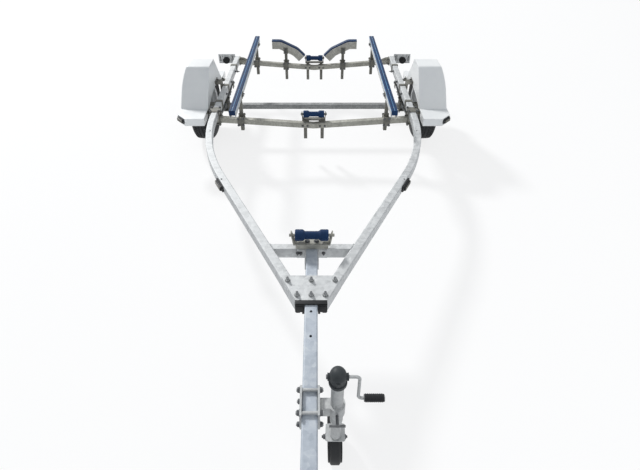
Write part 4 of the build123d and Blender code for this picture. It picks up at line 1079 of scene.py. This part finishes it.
for side, name in zip(SIDES, ("right", "left")):
    body = f"road_wheel_{name}"
    tyre = piece(f"tyre_tread_{name}", body, RUBBER, tyre_mesh, side * TRACK_X)
    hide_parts(f"tyre_{name}")
    piece(f"wheel_trim_{name}", body, ZINC, wheel_trim, side)
    piece(f"valve_{name}", body, BLACK, valve, side)


# ---------------- jockey wheel
@adds(BOLT)
def jockey_fittings(mesh):
    """Nuts of the clamp on the drawbar, its tommy bar, and the crank's nut."""
    for side in SIDES:
        for dy in (-42, 42):
            for dz in (-41.5, 41.5):
                bolted(mesh, (side * 38, JOCKEY_Y + dy, RAIL_MID + dz), X_AXIS * side, 10, 4)
    rod_y = JOCKEY_Y - 32
    bar_y = rod_y - 36
    thread(mesh, (JOCKEY_X, rod_y, RAIL_MID), -Y_AXIS, 6, 40, 2.2)
    pipe(mesh, [(JOCKEY_X - 30, bar_y, RAIL_MID), (JOCKEY_X + 30, bar_y, RAIL_MID)], 4.5, 14)
    nut(mesh, (JOCKEY_X - 37, JOCKEY_Y, CRANK_Z), -X_AXIS, 9, 6)


@adds(ZINC)
def jockey_rings(mesh):
    """Rolled rings of the outer tube, and the seam of its cap."""
    for z in (350, 366, 590):
        ring_band(mesh, frame_at((JOCKEY_X, JOCKEY_Y, z)), ridge(23.5, 25.4, 3, 2))


@adds(CHARCOAL)
def head_trim(mesh):
    """Ring and panel of the jockey wheel's head, and collars round its crank."""
    ring_band(mesh, frame_at((JOCKEY_X, JOCKEY_Y, 620)), ridge(30.5, 32.4, 2, 1.4))
    box(mesh, (JOCKEY_X, JOCKEY_Y - 31, 634), (14, 4, 22), 1.4)
    for side in SIDES:
        hoop(mesh, (JOCKEY_X + side * 36.5, JOCKEY_Y, CRANK_Z), [
            (8, -1.5), (13.6, -1.5), (13.6, 1), (12, 2), (8, 2),
        ], 32)


def ribbed_grip(mesh, start, radius, length, ribs):
    """Moulded hand grip along X, with ribs round it."""
    margin = 5
    rib_r = radius + 1.3
    pitch = (length - 2 * margin) / ribs
    profile = [(0, 0), (radius - 2, 0), (radius, 1.5)]
    for k in range(ribs):
        low = margin + k * pitch
        high = low + pitch * 0.6
        profile += [(radius, low), (rib_r, low + 1), (rib_r, high - 1), (radius, high)]
    profile += [(radius, length - 3), (radius - 3, length), (0, length)]
    turned(mesh, frame_at(start, X_AXIS), profile, 32)


@adds(BLACK, "jockey_crank")
def crank_grip(mesh):
    ribbed_grip(mesh, (CRANK_OUT_X + 21.6, JOCKEY_Y, CRANK_Z - CRANK_ARM), 13.6, 77.4, 9)


@adds(BOLT, "jockey_castor")
def fork_nuts(mesh):
    x, y, z = JOCKEY_AXLE
    for side in SIDES:
        bolted(mesh, (x + side * 39, y, z), X_AXIS * side, 10, 6)


@adds(RUBBER, "jockey_road_wheel", "rubber")
def jockey_wheel_ribs(mesh):
    """Spokes and rings on the wheel's flanks, and two rings round its tread."""
    x, y, z = JOCKEY_AXLE
    for side in SIDES:
        for k in range(6):
            spoke = frame_at(JOCKEY_AXLE, X_AXIS * side, radians(60 * k))
            block(mesh, shifted(spoke, 41, 0, 13), (38, 6, 5), 1.4)
        for radius in (68, 80, 90):
            hoop(mesh, (x + side * 27, y, z), [
                (radius - 1.2, -2), (radius - 0.8, 2.2), (radius + 0.8, 2.2), (radius + 1.2, -2),
            ], 64)
    for dx in (-8, 8):
        hoop(mesh, (x + dx, y, z), ridge(98.6, 99.7, 3, 2.4), 72)


# ---------------- coupling
LEVER_Y = -2262.0
LEVER_Z = 500.0


@adds(BOLT)
def coupling_bolts(mesh):
    """Bolts through the drawbar, the lever's washers and a grease nipple."""
    for y in (-2132, -2204):
        for side in SIDES:
            bolted(mesh, (side * 36, y, 440), X_AXIS * side, 11, 6 if side == 1 else 0)
    for side in SIDES:
        washer(mesh, (side * 25.5, LEVER_Y, LEVER_Z), X_AXIS * side, 8)
    turned(mesh, frame_at((0, -2300, 482), (0, -0.3, 1)), [
        (0, -2), (4, 0), (4, 5), (2.4, 7), (3, 9), (0, 10),
    ], 14)


@adds(DRAWBAR_STEEL)
def coupling_welds(mesh):
    """Bead along the coupling's rear edge."""
    seam_y = -2099
    top_z = 469
    bead_r = 3.6
    weld(mesh, (-34, seam_y, top_z), (34, seam_y, top_z), bead_r)
    for x in (36, -36):
        weld(mesh, (x, seam_y, top_z - 45), (x, seam_y, top_z - 5), bead_r)


@adds(BLACK, "coupling_lever")
def lever_grip(mesh):
    """Ribbed rubber over the end of the lever."""
    for k in range(8):
        along = 8.5 * k
        place = (0, LEVER_Y + 84 + along, LEVER_Z + 3.4 - 0.095 * along)
        box(mesh, place, (39, 7, 19.0 - 0.1 * along), 2)


# ---------------- winch
def gear(mesh, matrix, teeth, root_r, tip_r, thick):
    """Spur gear with straight-sided teeth."""
    outline = []
    pitch = tau / teeth
    for k in range(teeth):
        base = tau * k / teeth
        for share, radius in ((0.0, root_r), (0.22, root_r), (0.36, tip_r), (0.64, tip_r), (0.78, root_r)):
            outline.append((radius, base + share * pitch))
    low = [mesh.verts.new(matrix @ polar(*point, 0)) for point in outline]
    high = [mesh.verts.new(matrix @ polar(*point, thick)) for point in outline]
    wall(mesh, low, high)
    mesh.faces.new(list(reversed(low)))
    mesh.faces.new(high)


@adds(ZINC, "winch_drum")
def winch_turning(mesh):
    """Gear beside the drum, its collar, and the rims of the drum's flanges."""
    gear(mesh, frame_at((-59, WINCH_Y, WINCH_Z), X_AXIS), 28, 31, 35, 6)
    hoop(mesh, (-52, WINCH_Y, WINCH_Z), [
        (11, -2), (20, -2), (20, 0), (14, 2), (11, 2),
    ], 32)
    for side in SIDES:
        hoop(mesh, (side * 34.5, WINCH_Y, WINCH_Z), ridge(37, 41, 2.6, 2.6))


@adds(BLACK, "winch_drum")
def winch_grip(mesh):
    ribbed_grip(mesh, (72.3, WINCH_Y, WINCH_Z - 186), 14.5, 95.4, 10)


@adds(BOLT)
def winch_fixed(mesh):
    """Bolts of the winch and its post, and the pawl over the gear."""
    for x in (-24, 24):
        for dy in (-43, 43):
            bolted(mesh, (x, WINCH_Y + dy, 1005), Z_AXIS, 7.5, 4)
    for side in SIDES:
        for dy in (-46, 46):
            bolted(mesh, (side * 36, WINCH_Y + dy, RAIL_MID), X_AXIS * side, 11, 8 if side == 1 else 0)
    bolted(mesh, (-49, WINCH_Y + 36, WINCH_Z + 30), -X_AXIS, 6.5, 3)
    box(mesh, (-54, WINCH_Y + 24, WINCH_Z + 37), (5, 34, 9), 1.6)


@adds(LIT_STEEL)
def winch_welds(mesh):
    """Bead round the foot of the winch post."""
    half = 25
    foot_z = 471
    bead_r = 3.4
    for edge in (-half, half):
        weld(mesh, (-half, WINCH_Y + edge, foot_z), (half, WINCH_Y + edge, foot_z), bead_r)
        weld(mesh, (edge, WINCH_Y - half, foot_z), (edge, WINCH_Y + half, foot_z), bead_r)


@adds(RUBBER, slot="rubber")
def bow_stop_ribs(mesh):
    """Grip ribs on both pads of the bow stop, and the washer of its bolt."""
    for side in SIDES:
        pad = Vector((side * 27, WINCH_Y + 149, BOW_STOP_Z))
        turn = Matrix.Rotation(side * radians(25.6), 4, "Z")
        for k in range(6):
            spot = Matrix.Translation((pad + Z_AXIS * (k * 14 - 35)) * MM) @ turn
            block(mesh, spot, (44, 5, 5), 1.4)
    washer(mesh, (0, WINCH_Y + 136, BOW_STOP_Z), Y_AXIS, 9)


# ---------------- stage
FLOOR_HALF = 30.0
FLOOR_Z = -0.0005  # just under the tyres
FLOOR_GLOW = 0.8
AMBIENT = 0.40
LAMP_TARGET = (0, 0.3, 0.4)


def seen_share(tree, strength):
    """Strength where a ray comes from the camera, a reflection or glass, and 0 elsewhere."""
    seen = tree.nodes.new("ShaderNodeLightPath")
    total = seen.outputs["Is Camera Ray"]
    for name in ("Is Glossy Ray", "Is Transmission Ray"):
        added = tree.nodes.new("ShaderNodeMath")
        added.operation = "MAXIMUM"
        tree.links.new(total, added.inputs[0])
        tree.links.new(seen.outputs[name], added.inputs[1])
        total = added.outputs[0]
    scaled = tree.nodes.new("ShaderNodeMath")
    scaled.operation = "MULTIPLY"
    scaled.inputs[1].default_value = strength
    tree.links.new(total, scaled.inputs[0])
    return scaled.outputs[0]


def seen_white(tree, share, plain, kind, output):
    """Mixes white light into a plain shader, for the rays that seen_share picks."""
    white = tree.nodes.new(kind)
    set_inputs(white, Color=(1, 1, 1, 1), Strength=1.0)
    mix = tree.nodes.new("ShaderNodeMixShader")
    tree.links.new(seen_share(tree, share), mix.inputs[0])
    tree.links.new(plain.outputs[0], mix.inputs[1])
    tree.links.new(white.outputs[0], mix.inputs[2])
    tree.links.new(mix.outputs[0], tree.nodes[output].inputs["Surface"])


floor_mesh = bpy.data.meshes.new("floor")
corners = [(x * FLOOR_HALF, y * FLOOR_HALF, FLOOR_Z) for x, y in ((-1, -1), (1, -1), (1, 1), (-1, 1))]
floor_mesh.from_pydata(corners, [], [(0, 1, 2, 3)])
floor = bpy.data.objects.new("floor", floor_mesh)
scene.collection.objects.link(floor)
floor_material, tree, shader = new_material("floor")
shader.inputs["Base Color"].default_value = (0.94, 0.94, 0.94, 1)
shader.inputs["Roughness"].default_value = 0.9
# the paper floor stays white beside a shadow, because it is partly lit from within
seen_white(tree, FLOOR_GLOW, shader, "ShaderNodeEmission", "Material Output")
floor_mesh.materials.append(floor_material)

world = bpy.data.worlds.new("studio")
scene.world = world
world.use_nodes = True
tree = world.node_tree
ambient = tree.nodes["Background"]
set_inputs(ambient, Color=(0.84, 0.91, 1.0, 1), Strength=AMBIENT)
seen_white(tree, 1.0, ambient, "ShaderNodeBackground", "World Output")


def lamp(name, place, size, watts):
    """Round soft lamp, aimed at the middle of the trailer."""
    data = bpy.data.lights.new(name, "AREA")
    data.shape = "DISK"
    data.size = size
    data.energy = watts
    light = bpy.data.objects.new(name, data)
    light.location = place
    aim = Vector(LAMP_TARGET) - Vector(place)
    light.rotation_euler = aim.to_track_quat("-Z", "Y").to_euler()
    scene.collection.objects.link(light)


lamp("sun_side", (-11.9, 17.3, 16.0), 3.4, 5700)
lamp("fill", (4.0, -5.0, 6.0), 5.0, 120)
